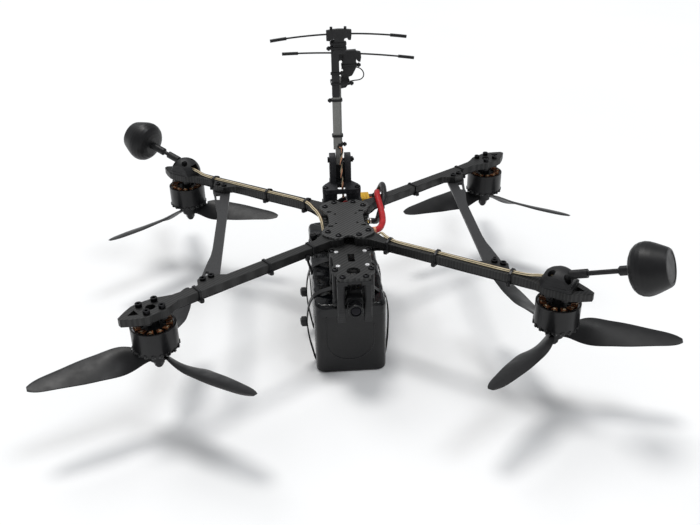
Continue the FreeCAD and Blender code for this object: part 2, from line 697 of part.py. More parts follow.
def make_mast_ties():
    gap = 0.05
    ties = []
    # Each row: height, the loop's sides, and the side that its head is on
    clamp_front = mast_front_y - 6.8
    rows = [(z_mast_pivot + 118.2, strip_left, 7.2, clamp_front, mast_front_y, 0),
            (z_mast_pivot + 114.0, strip_left, 7.2, clamp_front, mast_front_y, -1),
            (z_mast_pivot + 94.5, 4.6, 18.0, mast_rear_y + 0.8, clamp_rear_y, 1),
            (z_mast_pivot + 89.0, strip_left, strip_right, strip_front_y, mast_front_y, 1),
            (z_mast_pivot + 79.0, strip_left, 10.4, strip_front_y, clamp_rear_y, 1),
            (z_mast_pivot + 62.3, mast_left, mast_right, mast_front_y, mast_rear_y, -1),
            (z_mast_pivot + 26.0, mast_left, mast_right, mast_front_y, mast_rear_y, 0)]
    for z, x0, x1, y0, y1, head in rows:
        tie = loop_tie(x0 - gap, x1 + gap, y0 - gap, y1 + gap, z, 2.4, 1.0)
        if head < 0:
            tie = tie.fuse(box(x0 - 5.0, x0 - 0.8, y0, y0 + 3.6, z - 2.2, z + 2.2))
        if head > 0:
            tie = tie.fuse(box(x1 + 0.8, x1 + 5.0, y0, y0 + 3.6, z - 2.2, z + 2.2))
        ties.append(tie.removeSplitter())
    save("mast_ties", ties)


# ---------------------------------------------------------------- mushroom antennas

pod_base = 3.0
pod_radius = 15.4
pod_centre_s = -1.5
pod_face_s = 10.5
pod_half_width = 11.0
stem_radius = 2.0
cap_starts = (34.0, 22.0)
stem_sleeve_starts = (25.6, 6.8)


def pod_axis(corner):
    """The stem's direction, and the point on it where it leaves the pod's socket."""
    outward, inward = arm_directions(corner)
    tilt = math.radians(pod_tilts[pod_corners.index(corner)])
    direction = outward * math.cos(tilt) + Vector(0, 0, math.sin(tilt))
    return direction, arm_point(corner, 6.9, 0, z_top_plate + 11.6) + direction * 14.0


def make_pods():
    pods = []
    stems = []
    caps = []
    for corner, cap_start, sleeve_start in zip(pod_corners, cap_starts, stem_sleeve_starts):
        direction, start = pod_axis(corner)
        base = arm_prism(corner, [(12.0, -10.4), (12.0, 10.4), (7.0, 11.4), (-8.5, 11.0),
                                  (-13.6, 8.6), (-13.6, -8.6), (-8.5, -11.0), (7.0, -11.4)],
                         z_top_plate, z_top_plate + pod_base)
        dome = Part.makeSphere(pod_radius, arm_point(corner, pod_centre_s, 0, z_top_plate))
        keep = arm_block(corner, -20.0, pod_face_s, -pod_half_width, pod_half_width,
                         z_top_plate, z_top_plate + 20.0)
        socket = rod(start - direction * 14.0, start, 3.7)
        cave = arm_block(corner, -20.0, -5.0, -4.0, 4.0, z_top_plate + pod_base,
                         z_top_plate + 10.0)
        pod = fuse_all([base, dome.common(keep), socket])
        pod = pod.cut(cave)
        for s, t in motor_screw_places:
            pod = pod.cut(arm_post(corner, s, t, z_top_plate, z_top_plate + 20.0,
                                   m3_clear_radius))
            pod = pod.cut(arm_post(corner, s, t, z_top_plate + pod_base,
                                   z_top_plate + 20.0, 3.0))
        pod = pod.cut(rod(start - direction * 13.0, start + direction, stem_radius))
        pods.append(pod)

        turn = FreeCAD.Rotation(Vector(0, 0, 1), direction)
        place = FreeCAD.Placement(start, turn)
        stem_profile = [(0, -13.0), (stem_radius, -13.0), (stem_radius, sleeve_start - 1.6),
                        (2.6, sleeve_start - 1.2), (3.9, sleeve_start), (3.9, cap_start), (2.2, cap_start),
                        (2.2, cap_start + 4.0), (0, cap_start + 4.0)]
        stems.append(revolve(stem_profile, place))
        cap_profile = [(2.2, cap_start), (9.5, cap_start + 0.2), (13.6, cap_start + 1.1),
                       (17.0, cap_start + 2.9), (19.4, cap_start + 5.4),
                       (20.8, cap_start + 8.6), (21.2, cap_start + 12.0),
                       (20.6, cap_start + 15.6), (19.3, cap_start + 19.2),
                       (16.6, cap_start + 25.4), (15.2, cap_start + 28.4),
                       (14.2, cap_start + 29.6), (12.4, cap_start + 29.9),
                       (12.1, cap_start + 29.4), (0, cap_start + 29.4),
                       (0, cap_start + 4.0), (2.2, cap_start + 4.0)]
        caps.append(revolve(cap_profile, place))
    save("antenna_pods", pods)
    save("mushroom_stems", stems)
    save("mushroom_caps", caps)


# ---------------------------------------------------------------- motors and propellers

stator_top = z_rim - 1.0
stator_bottom = z_bell_bottom + 6.5
stator_radius = 15.2
stator_teeth = 12
ring_inner_radius = 17.1


def make_motor_bases():
    bases = []
    stators = []
    for corner in corners:
        centre = arm_point(corner, 0, 0, 0)
        flange = [post(centre.x, centre.y, z_arm - 2.5, z_arm, 7.5)]
        for s, t in motor_screw_places:
            end = arm_point(corner, s, t, z_arm - 2.5)
            flange.append(post(end.x, end.y, z_arm - 2.5, z_arm, 3.4))
        flange.append(post(centre.x, centre.y, z_bell_bottom + 6.0, z_arm - 2.5, 5.0))
        base = fuse_all(flange)
        for s, t in motor_screw_places:
            base = base.cut(arm_post(corner, s, t, z_arm - 2.5, z_arm, m3_radius))
        bore_radius = shaft_radius + running_clearance
        bases.append(base.cut(post(centre.x, centre.y, z_bell_bottom, z_arm, bore_radius)))

        core = post(centre.x, centre.y, stator_bottom, stator_top, 7.6)
        rim = post(centre.x, centre.y, stator_bottom, stator_top, stator_radius)
        rim = rim.cut(post(centre.x, centre.y, stator_bottom, stator_top, stator_radius - 1.3))
        teeth = []
        gaps = []
        for k in range(stator_teeth):
            turn = 360.0 * k / stator_teeth
            tooth = box(6.0, stator_radius - 1.0, -1.2, 1.2, stator_bottom, stator_top)
            gap = box(stator_radius - 2.0, stator_radius + 1.0, -0.7, 0.7,
                      stator_bottom, stator_top)
            tooth.rotate(Vector(0, 0, 0), Vector(0, 0, 1), turn)
            gap.rotate(Vector(0, 0, 0), Vector(0, 0, 1), turn + 180.0 / stator_teeth)
            for piece in (tooth, gap):
                piece.translate(Vector(centre.x, centre.y, 0))
            teeth.append(tooth)
            gaps.append(gap)
        core = fuse_all([core, cut_all(rim, gaps)] + teeth)
        core = core.cut(post(centre.x, centre.y, stator_bottom, stator_top, 5.0))
        stators.append(core)
    save("motor_bases", bases)
    save("stators", stators)


def make_bell(corner):
    centre = arm_point(corner, 0, 0, 0)
    height = bell_height
    profile = [(shaft_radius, 4.0), (shaft_radius, -height + 4.5),
               (ring_inner_radius, -height + 4.5), (ring_inner_radius, 0),
               (bell_radius, 0), (bell_radius, -height + 1.0),
               (bell_radius - 1.0, -height), (9.0, -height), (9.0, -height - 2.0),
               (shaft_radius, -height - 2.0), (shaft_radius, -height - 19.0),
               (0, -height - 19.0), (0, 4.0)]
    place = FreeCAD.Placement(Vector(centre.x, centre.y, z_rim), FreeCAD.Rotation())
    bell = revolve(profile, place)
    for k in range(7):
        turn = math.radians(360.0 * k / 7)
        x = centre.x + 12.3 * math.cos(turn)
        y = centre.y + 12.3 * math.sin(turn)
        bell = bell.cut(post(x, y, z_bell_bottom, z_bell_bottom + 4.5, 2.4))
    for k in range(18):
        turn = math.radians(20.0 * k)
        x = centre.x + (bell_radius + 0.3) * math.cos(turn)
        y = centre.y + (bell_radius + 0.3) * math.sin(turn)
        bell = bell.cut(post(x, y, z_bell_bottom, z_bell_bottom + 3.2, 1.7))
    save("rotor_bell_" + corner[0], [bell])


# Blade stations: distance from the axis, chord, how far the chord's middle is swept back
blade_stations = [(5.5, 11.0, 0.0), (13.0, 14.0, -0.4), (24.0, 22.5, -1.2), (36.0, 26.0, -0.8),
                  (52.0, 25.0, 0.4), (70.0, 21.5, 1.8), (86.0, 16.8, 3.2), (96.0, 12.0, 4.1),
                  (propeller_radius, 5.0, 4.6)]
blade_first_angle = {"front_left": 199.6, "front_right": -11.6,
                     "rear_left": 225.1, "rear_right": -41.1}
hub_radius = 7.5
hub_height = 9.0


def blade_section(distance, chord, sweep, spin):
    """A thin cambered section across the blade, pitched for its distance from the axis."""
    pitch = math.atan2(propeller_pitch, 2 * math.pi * max(distance, 24.0))
    thick = 0.9 + 1.6 * (1 - distance / propeller_radius)
    upper = [(-0.5, 0.0), (-0.3, 0.75), (0.0, 0.85), (0.3, 0.45), (0.5, 0.0)]
    lower = [(0.5, 0.0), (0.25, -0.1), (0.0, -0.15), (-0.3, -0.25), (-0.5, 0.0)]
    edges = []
    for side in (upper, lower):
        points = []
        for along, up in side:
            back = along * chord * math.cos(pitch) + up * thick * math.sin(pitch)
            rise = up * thick * math.cos(pitch) - along * chord * math.sin(pitch)
            points.append(Vector(distance, spin * (-sweep - back), rise))
        curve = Part.BSplineCurve()
        curve.interpolate(points)
        edges.append(curve.toShape())
    return Part.Wire(edges)


def make_propeller(corner):
    name, side_x, side_y = corner
    spin = -side_x * side_y
    centre = arm_point(corner, 0, 0, 0)
    z_hub_top = z_bell_bottom - 2.0
    sections = [blade_section(d, c, w, spin) for d, c, w in blade_stations]
    blade = Part.makeLoft(sections, True, False)
    hub = post(0, 0, -hub_height / 2, hub_height / 2, hub_radius)
    pieces = [hub]
    for k in range(3):
        turned = blade.copy()
        turned.rotate(Vector(0, 0, 0), Vector(0, 0, 1), blade_first_angle[name] + 120.0 * k)
        pieces.append(turned)
    propeller = fuse_all(pieces)
    propeller = propeller.cut(post(0, 0, -20.0, 20.0, shaft_radius))
    propeller = propeller.cut(post(0, 0, hub_height / 2, 20.0, bell_radius + 1.5))
    propeller.translate(Vector(centre.x, centre.y, z_hub_top - hub_height / 2))
    save("propeller_" + name, [propeller])

    z_nut = z_hub_top - hub_height
    nut_solid = hexagon(centre.x, centre.y, z_nut - 5.0, z_nut, 8.0)
    washer = post(centre.x, centre.y, z_nut - 0.8, z_nut, 5.2)
    collar = post(centre.x, centre.y, z_nut - 6.5, z_nut - 5.0, 3.6)
    nut_solid = fuse_all([nut_solid, washer, collar])
    save("prop_nut_" + name,
         [nut_solid.cut(post(centre.x, centre.y, z_nut - 7.0, z_nut, shaft_radius))])


# ---------------------------------------------------------------- battery

def tie_outline(thickness):
    """The strap's path round the pack and over the battery plate, seen from the front."""
    grow = 0.05 + thickness
    floor = battery_tie_thickness + 0.05 - thickness
    shoulder = battery_height
    return [(battery_left - grow, floor), (battery_right + grow, floor),
            (battery_right + grow, shoulder + grow * 0.4), (18.0, z_bay + grow),
            (-18.0, z_bay + grow), (battery_left - grow, shoulder + grow * 0.4)]


def make_battery():
    pack = box(battery_left, battery_right, battery_front_y, battery_rear_y, 0, battery_height)
    pack = rounded(pack, battery_corner_radius)
    rims = [e for e in pack.Edges if e.BoundBox.ZLength < 1e-6]
    pack = pack.makeFillet(2.0, rims)
    half = battery_tie_width / 2 + 0.2
    for y in battery_tie_ys:
        pack = pack.cut(box(battery_left - 1, battery_right + 1, y - half, y + half,
                            -1.0, battery_tie_thickness + 0.1))
    z_cell = wrap_wall + end_board
    wells = []
    cells = []
    for row in range(cells_across):
        for column in range(cells_along):
            x = battery_left + wrap_wall + (row + 0.5) * cell_pitch
            y = battery_front_y + wrap_wall + (column + 0.5) * cell_pitch
            cells.append(post(x, y, z_cell, z_cell + cell_height, cell_diameter / 2 - 0.02))
            wells.append(post(x, y, z_cell, z_cell + cell_height, cell_diameter / 2))
    save("battery_wrap", [cut_all(pack, wells)])
    save("battery_cells", cells)

    pad = rounded(box(-16.5, 16.5, -76.0, 66.0, z_pad, z_battery_plate), 3.0)
    recesses = []
    for x, y in standoff_places:
        recesses.append(post(x, y, z_pad, z_battery_plate, 3.4))
    save("battery_pad", [cut_all(pad, recesses)])

    half = battery_tie_width / 2
    ties = []
    for index, y in enumerate(battery_tie_ys):
        outer = prism_xz(tie_outline(battery_tie_thickness), y - half, y + half)
        tie = outer.cut(prism_xz(tie_outline(0.0), y - half, y + half))
        if index < 2:
            z_head = 44.0
            head = box(battery_left - 9.5, battery_left - 1.0, y - 4.5, y + 4.5,
                       z_head - 4.2, z_head + 4.2)
            tie = tie.fuse(head).removeSplitter()
        ties.append(tie)
    save("battery_ties", ties)


# ---------------------------------------------------------------- leads and ties

def make_leads():
    lead_radius = 2.7
    z_plug = z_mid - 5.0
    z_esc_pad = z_arm + 3.6
    socket = rounded(box(20.4, 29.0, 68.0, 84.5, z_plug - 4.2, z_plug + 4.2), 1.0)
    plug = rounded(box(11.0, 20.3, 68.0, 84.5, z_plug - 4.2, z_plug + 4.2), 1.0)
    save("power_connector", [socket, plug])
    red_out = [(29.1, 72.3, z_plug), (33.6, 72.3, z_plug), (35.8, 70.4, z_plug + 7.5),
               (35.2, 64.0, z_top_plate + 0.6), (33.9, 54.5, z_top_plate + 4.6),
               (33.8, 44.0, z_top_plate + 4.6), (34.3, 33.0, z_top_plate + 3.1),
               (35.0, 22.0, z_top_plate - 0.1), (35.4, 10.0, z_top_plate - 2.6),
               (34.2, -3.0, z_esc_pad + 0.3), (30.6, -13.0, z_esc_pad - 0.2),
               (26.5, -16.6, z_esc_pad), (21.9, -17.0, z_esc_pad)]
    black_out = [(29.1, 80.2, z_plug), (34.0, 80.2, z_plug), (39.0, 77.4, z_plug + 8.0),
                 (41.6, 70.5, z_top_plate + 3.6), (41.8, 58.5, z_top_plate + 7.0),
                 (41.2, 46.5, z_top_plate + 6.2), (40.2, 37.5, z_top_plate + 2.6),
                 (38.6, 29.0, z_top_plate - 5.2), (36.0, 20.0, z_esc_pad - 5.6),
                 (32.6, 11.0, z_esc_pad - 4.4), (28.4, 4.4, z_esc_pad - 1.4),
                 (25.0, 2.8, z_esc_pad), (21.9, 2.8, z_esc_pad)]
    red_in = [(10.9, 72.3, z_plug), (6.0, 72.3, z_plug), (1.8, 74.2, z_plug - 5.5),
              (0.5, 77.0, z_plug - 14.0), (0.5, 77.5, battery_height + 6.0),
              (0.5, 77.5, battery_height + 0.05)]
    black_in = [(10.9, 80.2, z_plug), (3.0, 80.2, z_plug), (-4.6, 79.6, z_plug - 5.5),
                (-7.5, 78.4, z_plug - 14.0), (-7.7, 77.9, battery_height + 6.0),
                (-7.7, 77.9, battery_height + 0.05)]
    save("red_lead", [tube("red_out", red_out, lead_radius), tube("red_in", red_in, lead_radius)])
    save("black_lead", [tube("black_out", black_out, lead_radius),
                        tube("black_in", black_in, lead_radius)])


def make_motor_wires():
    """A flat sleeve under each arm, from the motor's base to the edge of the bay."""
    low = z_arm - sleeve_thickness
    outline = [(-15.0, z_arm - 2.8), (-21.0, low + 0.1), (-24.0, low), (-160.0, low),
               (-171.0, z_mid - 3.6), (-180.0, z_mid - 5.5), (-180.0, z_mid - 3.1),
               (-172.0, z_mid - 1.2), (-161.0, z_arm - 0.1), (-24.0, z_arm - 0.1),
               (-21.5, z_arm - 0.4), (-15.0, z_arm - 0.6)]
    sleeves = [side_profile(corner, outline, -4.2, 4.2) for corner in corners]
    save("motor_wires", sleeves)


def make_antenna_wires():
    wire_radius = 0.85
    z_wire = z_top_plate + wire_radius + 0.1
    tails = [[(28.2, -26.0, z_arm + 3.5), (24.2, -21.5, z_arm + 2.6)],
             [(-26.2, 24.0, z_arm + 6.0), (-22.8, 11.0, z_arm + 3.6), (-21.6, -1.0, z_mid + 1.0),
              (-21.6, -9.0, z_mid - 3.5)]]
    # Places along the arm: s, t and the height above the wire's rest on the arm
    along_arm = [(-7.0, 0.0, 5.6), (-17.5, 0.0, 3.9), (-29.0, 0.9, 0), (-70.0, 0.4, 0),
                 (-115.0, 1.3, 0), (-150.0, 0.6, 0), (-163.0, 4.8, 0.2), (-171.5, 11.6, 0)]
    wires = []
    for corner, tail in zip(pod_corners, tails):
        points = [tuple(arm_point(corner, s, t, z_wire + up)) for s, t, up in along_arm]
        wires.append(tube("arm_wire_" + corner[0], points + tail, wire_radius))
    save("antenna_wires", wires)


def make_arm_ties():
    gap = 0.05
    ties = []
    for corner in corners:
        wire_room = 1.9 if corner in pod_corners else 0.0
        for s in arm_tie_places:
            s0 = s - tie_width / 2
            s1 = s + tie_width / 2
            half = arm_half_width + gap
            low = z_arm - sleeve_thickness - gap
            high = z_top_plate + wire_room + gap
            tie = arm_block(corner, s0, s1, -half - tie_thickness, half + tie_thickness,
                            low - tie_thickness, high + tie_thickness)
            tie = tie.cut(arm_block(corner, s0, s1, -half, half, low, high))
            # The head is on the arm's lower front corner.
            front = corner[2]
            t0, t1 = sorted((front * half, front * (half + tie_thickness + 3.2)))
            head = arm_block(corner, s - 2.2, s + 2.2, t0, t1, low - tie_thickness - 2.6, low + 1.0)
            ties.append(tie.fuse(head).removeSplitter())
    save("arm_ties", ties)


def make_mast_leads():
    """Thin twisted leads: up through the bracket, then past the pivot into the mast's hole."""
    lead_radius = 1.3
    hole_z = z_mast_pivot + 14.5
    lower = [(1.6, 63.5, z_mid + 4.0), (1.6, 64.0, z_flange - 8.0), (1.2, 66.5, z_flange + 4.0),
             (0.6, 70.5, z_mast_pivot - 6.0)]
    upper = [(0.6, 73.9, z_mast_pivot + 2.5), (0.8, 74.4, z_mast_pivot + 8.5),
             (lead_hole_x, 73.9, hole_z - 0.3), (lead_hole_x, mast_pivot_y, hole_z)]
    save("mast_leads_lower", [tube("mast_leads_lower", lower, lead_radius)])
    save("mast_leads_upper", [tube("mast_leads_upper", upper, lead_radius)])


make_top_plate()
make_mid_plate()
make_battery_plate()
for corner in corners:
    make_arm(corner)
save("braces", [brace(-1), brace(1)])
make_fasteners()
make_electronics()
make_camera_mount()
make_camera()
make_bracket()
make_mast()
make_antennas()
make_mast_ties()
make_pods()
make_motor_bases()
for corner in corners:
    make_bell(corner)
    make_propeller(corner)
make_battery()
make_leads()
make_motor_wires()
make_antenna_wires()
make_arm_ties()
make_mast_leads()
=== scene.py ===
import json
import math

import bpy
from mathutils import Matrix, Vector, noise


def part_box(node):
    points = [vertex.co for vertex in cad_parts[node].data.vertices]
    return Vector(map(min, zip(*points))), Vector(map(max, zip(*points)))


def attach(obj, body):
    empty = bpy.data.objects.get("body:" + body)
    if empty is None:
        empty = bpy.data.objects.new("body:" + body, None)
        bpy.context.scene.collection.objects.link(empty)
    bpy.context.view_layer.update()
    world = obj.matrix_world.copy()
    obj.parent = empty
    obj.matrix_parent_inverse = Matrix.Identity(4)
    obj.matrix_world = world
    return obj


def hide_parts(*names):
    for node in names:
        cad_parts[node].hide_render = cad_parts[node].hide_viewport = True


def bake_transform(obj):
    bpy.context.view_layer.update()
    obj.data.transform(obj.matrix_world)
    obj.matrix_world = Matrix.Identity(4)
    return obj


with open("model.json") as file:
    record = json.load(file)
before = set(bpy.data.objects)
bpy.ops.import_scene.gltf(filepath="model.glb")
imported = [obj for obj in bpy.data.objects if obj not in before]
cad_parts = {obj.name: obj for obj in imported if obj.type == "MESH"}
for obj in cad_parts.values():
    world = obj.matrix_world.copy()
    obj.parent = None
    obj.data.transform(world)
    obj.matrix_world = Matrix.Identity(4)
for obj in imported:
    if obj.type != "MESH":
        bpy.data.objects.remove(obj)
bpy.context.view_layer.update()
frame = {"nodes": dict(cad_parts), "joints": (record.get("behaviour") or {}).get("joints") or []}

# ---- Places read from the frame
# Lengths are in millimetres up to the point where a mesh is made, and metres after it.

MM = 0.001
X, Y, Z = Vector((1, 0, 0)), Vector((0, 1, 0)), Vector((0, 0, 1))


def box_mm(node):
    low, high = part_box(node)
    return low / MM, high / MM


joints = {joint["name"]: joint for joint in frame["joints"]}
corners = {"front_left": (-1, -1), "front_right": (1, -1),
           "rear_left": (-1, 1), "rear_right": (1, 1)}
pod_corners = ["front_right", "rear_left"]
arm_turn = math.radians(35.0)

z_arm = box_mm("arm_front_left")[0].z
z_arm_top = box_mm("arm_front_left")[1].z
z_mid = box_mm("mid_plate")[0].z
z_bay = box_mm("battery_plate")[1].z
battery_low, battery_high = box_mm("battery_wrap")
stator_low, stator_high = box_mm("stators")
bracket_low = box_mm("rear_bracket")[0]
mast_low, mast_high = box_mm("mast_lower")
strip_low, strip_high = box_mm("mast_upper")
mast_pivot = Vector(joints["mast_fold"]["pos_m"]) / MM
camera_pivot = Vector(joints["camera_tilt"]["pos_m"]) / MM
motor_centre = {name: Vector(joints[name + "_spin"]["pos_m"]) / MM for name in corners}
bell_high = box_mm("rotor_bell_front_left")[1]
arm_half_width = 5.2
sleeve_low = z_arm - 2.4


def arm_axes(corner):
    """An arm's directions: outward along it, and level across it towards the middle."""
    side_x, side_y = corners[corner]
    return (Vector((side_x * math.cos(arm_turn), side_y * math.sin(arm_turn), 0)),
            Vector((side_x * math.sin(arm_turn), -side_y * math.cos(arm_turn), 0)))


def arm_point(corner, s, t, z):
    """A place on an arm: s outward from the motor's axis, t across the arm."""
    outward, inward = arm_axes(corner)
    centre = motor_centre[corner]
    return Vector((centre.x, centre.y, z)) + outward * s + inward * t


def spokes(count, start=0.0):
    """The directions outward and sideways of evenly spaced spokes, the first at start degrees."""
    for k in range(count):
        a = math.radians(360.0 / count * k + start)
        yield Vector((math.cos(a), math.sin(a), 0)), Vector((-math.sin(a), math.cos(a), 0))


# ---- Materials
# The scales and depths of patterns are in millimetres.

def feed(tree, node, inputs):
    """Sets a node's inputs, each to a plain value or to the output of another node."""
    for socket, value in inputs.items():
        if isinstance(value, bpy.types.NodeSocket):
            tree.links.new(value, node.inputs[socket])
        else:
            node.inputs[socket].default_value = value
    return node


def new_node(tree, kind, inputs, **settings):
    node = tree.nodes.new("ShaderNode" + kind)
    for name, value in settings.items():
        setattr(node, name, value)
    return feed(tree, node, inputs)


def new_material(name):
    material = bpy.data.materials.new(name)
    material.use_nodes = True
    tree = material.node_tree
    return material, tree, tree.nodes["Principled BSDF"]


def math_of(tree, operation, *values):
    return new_node(tree, "Math", dict(enumerate(values)), operation=operation).outputs[0]


def place_of(tree, scale=(1, 1, 1), turn=(0, 0, 0)):
    place = new_node(tree, "TexCoord", {}).outputs["Object"]
    return new_node(tree, "Mapping",
                    {"Vector": place, "Scale": scale, "Rotation": turn}).outputs[0]


def noise_of(tree, scale, detail=4.0, stretch=(1, 1, 1), roughness=0.55):
    """Noise whose features are about `scale` millimetres across."""
    return new_node(tree, "TexNoise", {
        "Vector": place_of(tree, stretch), "Scale": 1000.0 / scale, "Detail": detail,
        "Roughness": roughness}).outputs[0]


def ramp_of(tree, value, dark, light, low=0.3, high=0.7):
    node = new_node(tree, "ValToRGB", {0: value})
    for element, position, colour in zip(node.color_ramp.elements, (low, high), (dark, light)):
        element.position = position
        element.color = (*colour, 1)
    return node.outputs[0]


def uneven(tree, scale, low, high):
    """A value that drifts between low and high over patches of about `scale` millimetres."""
    return new_node(tree, "MapRange", {
        "Value": noise_of(tree, scale), "From Min": 0.3, "From Max": 0.7, "To Min": low,
        "To Max": high}).outputs[0]


def mix_colour(tree, factor, first, second):
    """The factor goes from first to second. Either may be a plain colour."""
    first, second = ((*c, 1) if isinstance(c, tuple) else c for c in (first, second))
    return new_node(tree, "Mix", {0: factor, 6: first, 7: second}, data_type="RGBA").outputs[2]


def surface(tree, shader, colour, roughness, shine):
    feed(tree, shader, {"Base Color": colour, "Roughness": roughness,
                        "Specular IOR Level": shine})


def grey(level, blue):
    """A grey: its red and green, then its blue, in thousandths."""
    return (level / 1000, level / 1000, blue / 1000)


def soft_edges(tree, radius):
    """Normals of edges rounded to a radius in millimetres."""
    return new_node(tree, "Bevel", {"Radius": radius * MM}, samples=4).outputs[0]


def bump_into(tree, shader, heights, edge=0.35):
    """Chains bumps: each entry is (height, strength, distance in millimetres).

    The chain starts from edges rounded to the radius `edge`, which lets them catch the light."""
    normal = soft_edges(tree, edge) if edge else None
    for height, strength, distance in heights:
        bump = new_node(tree, "Bump", {"Height": height, "Strength": strength,
                                       "Distance": distance * MM})
        if normal is not None:
            tree.links.new(normal, bump.inputs["Normal"])
        normal = bump.outputs[0]
    tree.links.new(normal, shader.inputs["Normal"])


def painted_edge_highlight(tree, amount):
    """Painted highlight: a lighter colour where a rounded edge leans away from its face, broken up
    by noise.
    """
    face = new_node(tree, "NewGeometry", {}).outputs["Normal"]
    meet = new_node(tree, "VectorMath", {0: face, 1: soft_edges(tree, 0.5)},
                    operation="DOT_PRODUCT")
    sharp = ramp_of(tree, meet.outputs["Value"], (amount,) * 3, (0, 0, 0), 0.86, 0.97)
    patchy = ramp_of(tree, noise_of(tree, 3.0), (0.15,) * 3, (1, 1, 1), 0.45, 0.65)
    return math_of(tree, "MULTIPLY", sharp, patchy)


def moulded(name, dark, light, rough, grain=0.35, grain_depth=0.05, patch=9.0, coat=0.0):
    """A moulded or painted surface: soft patches of tone and fine grain."""
    material, tree, shader = new_material(name)
    patches = noise_of(tree, patch, 6.0)
    surface(tree, shader, ramp_of(tree, patches, dark, light),
            uneven(tree, patch * 0.45, *rough), 0.28)
    bump_into(tree, shader, [(noise_of(tree, grain, 3.0), 0.5, grain_depth),
                             (patches, 0.15, grain_depth * 2)])
    shader.inputs["Coat Weight"].default_value = coat
    return material


def metal(name, dark, light, rough, grain=0.3):
    """Bare metal, streaked and unevenly rough."""
    material, tree, shader = new_material(name)
    streaks = noise_of(tree, grain, 5.0)
    surface(tree, shader, ramp_of(tree, streaks, dark, light), uneven(tree, 2.5, *rough), 0.5)
    bump_into(tree, shader, [(streaks, 0.3, 0.02)])
    shader.inputs["Metallic"].default_value = 1.0
    return material


def carbon_plate(name, tow, tone):
    """Twill: each tow passes over two and under two, so the pattern steps along a diagonal."""
    material, tree, shader = new_material(name)
    axes = new_node(tree, "SeparateXYZ", {0: place_of(tree, (1000.0 / tow,) * 3)}).outputs
    cells = [math_of(tree, "FLOOR", axes[k]) for k in (0, 1)]
    step = math_of(tree, "FLOORED_MODULO", math_of(tree, "SUBTRACT", *cells), 4.0)
    over = math_of(tree, "LESS_THAN", step, 1.5)
    crown_x, crown_y = (math_of(tree, "PINGPONG", axes[k], 0.5) for k in (0, 1))
    crown = new_node(tree, "Mix", {0: over, 2: crown_y, 3: crown_x}).outputs[0]
    threads = noise_of(tree, 0.25, 2.0, (1, 1, 0.2))
    warp = ramp_of(tree, threads, (0.003 * tone,) * 3, (0.008 * tone,) * 3)
    weft = ramp_of(tree, threads, (0.012 * tone,) * 3, (0.024 * tone,) * 3)
    colour = mix_colour(tree, over, weft, warp)
    # The lighter grey along the plate's edges is a painted highlight.
    edge_lit_colour = mix_colour(tree, painted_edge_highlight(tree, 0.35), colour, grey(60, 62))
    smudges = math_of(tree, "ADD", uneven(tree, 12.0, 0.34, 0.5),
                      math_of(tree, "MULTIPLY", over, 0.12))
    surface(tree, shader, edge_lit_colour, smudges, 0.4)
    bump_into(tree, shader, [(crown, 0.25, 0.06), (threads, 0.25, 0.02)])
    return material


def carbon_bar(name, dark, light, rough):
    """Thick laminate: a satin face with faint tows, and the plies' lines along its sides."""
    material, tree, shader = new_material(name)
    plies = new_node(tree, "TexWave", {
        "Vector": place_of(tree), "Scale": 2000.0 / math.pi, "Distortion": 0.8},
        bands_direction="Z").outputs["Fac"]
    fibres = noise_of(tree, 0.7, 5.0, (1, 0.15, 1))
    tone = ramp_of(tree, fibres, dark, light, 0.25, 0.75)
    # The lighter grey along the laminate's edges is a painted highlight.
    edge_lit_colour = mix_colour(tree, painted_edge_highlight(tree, 0.3), tone, grey(50, 52))
    surface(tree, shader, edge_lit_colour, uneven(tree, 15.0, *rough), 0.35)
    bump_into(tree, shader, [(plies, 0.08, 0.03), (fibres, 0.15, 0.03)])
    return material


def printed(name, axis, dark, light, layer=0.4):
    """Printed plastic with its layer lines across the given axis."""
    material, tree, shader = new_material(name)
    layers = new_node(tree, "TexWave", {
        "Vector": place_of(tree), "Scale": 50.0 / layer, "Distortion": 0.6, "Detail": 1.0},
        bands_direction=axis).outputs["Fac"]
    patches = noise_of(tree, 6.0)
    colour = mix_colour(tree, layers, ramp_of(tree, patches, dark, light),
                        ramp_of(tree, patches, light, tuple(1.15 * c for c in light)))
    surface(tree, shader, colour, uneven(tree, 3.0, 0.42, 0.6), 0.35)
    bump_into(tree, shader, [(layers, 0.3, 0.06), (noise_of(tree, 0.5), 0.2, 0.04)])
    return material


def film(name, dark, light, rough, wrinkle=0.5):
    """Heat-shrunk film: gloss, with fine creases and dust."""
    material, tree, shader = new_material(name)
    creases = noise_of(tree, 5.0, 6.0, (1.6, 0.6, 1.0), 0.6)
    dust = ramp_of(tree, noise_of(tree, 1.2, 8.0), dark, light, 0.35, 0.8)
    surface(tree, shader, dust, uneven(tree, 18.0, *rough), 0.35)
    bump_into(tree, shader, [(creases, wrinkle, 0.6), (noise_of(tree, 0.6), 0.1, 0.03)], 0.0)
    return material


def braided(name, dark, light):
    """Braided sleeve: two sets of crossing strands."""
    material, tree, shader = new_material(name)
    weave = math_of(tree, "MAXIMUM", *(
        new_node(tree, "TexWave", {"Vector": place_of(tree, (1, 1, 1), (0, 0, turn)),
                                   "Scale": 1000.0 / 1.1 / 6.283}).outputs["Fac"]
        for turn in (0.6, -0.6)))
    surface(tree, shader, ramp_of(tree, weave, dark, light, 0.2, 0.9),
            uneven(tree, 4.0, 0.55, 0.75), 0.3)
    bump_into(tree, shader, [(weave, 0.6, 0.2)], 0.0)
    return material


def lens_glass(name):
    """Dark coated glass."""
    material, tree, shader = new_material(name)
    tint = ramp_of(tree, noise_of(tree, 4.0), (0.0015, 0.002, 0.004), (0.004, 0.003, 0.007))
    surface(tree, shader, tint, uneven(tree, 1.0, 0.02, 0.06), 0.16)
    return material


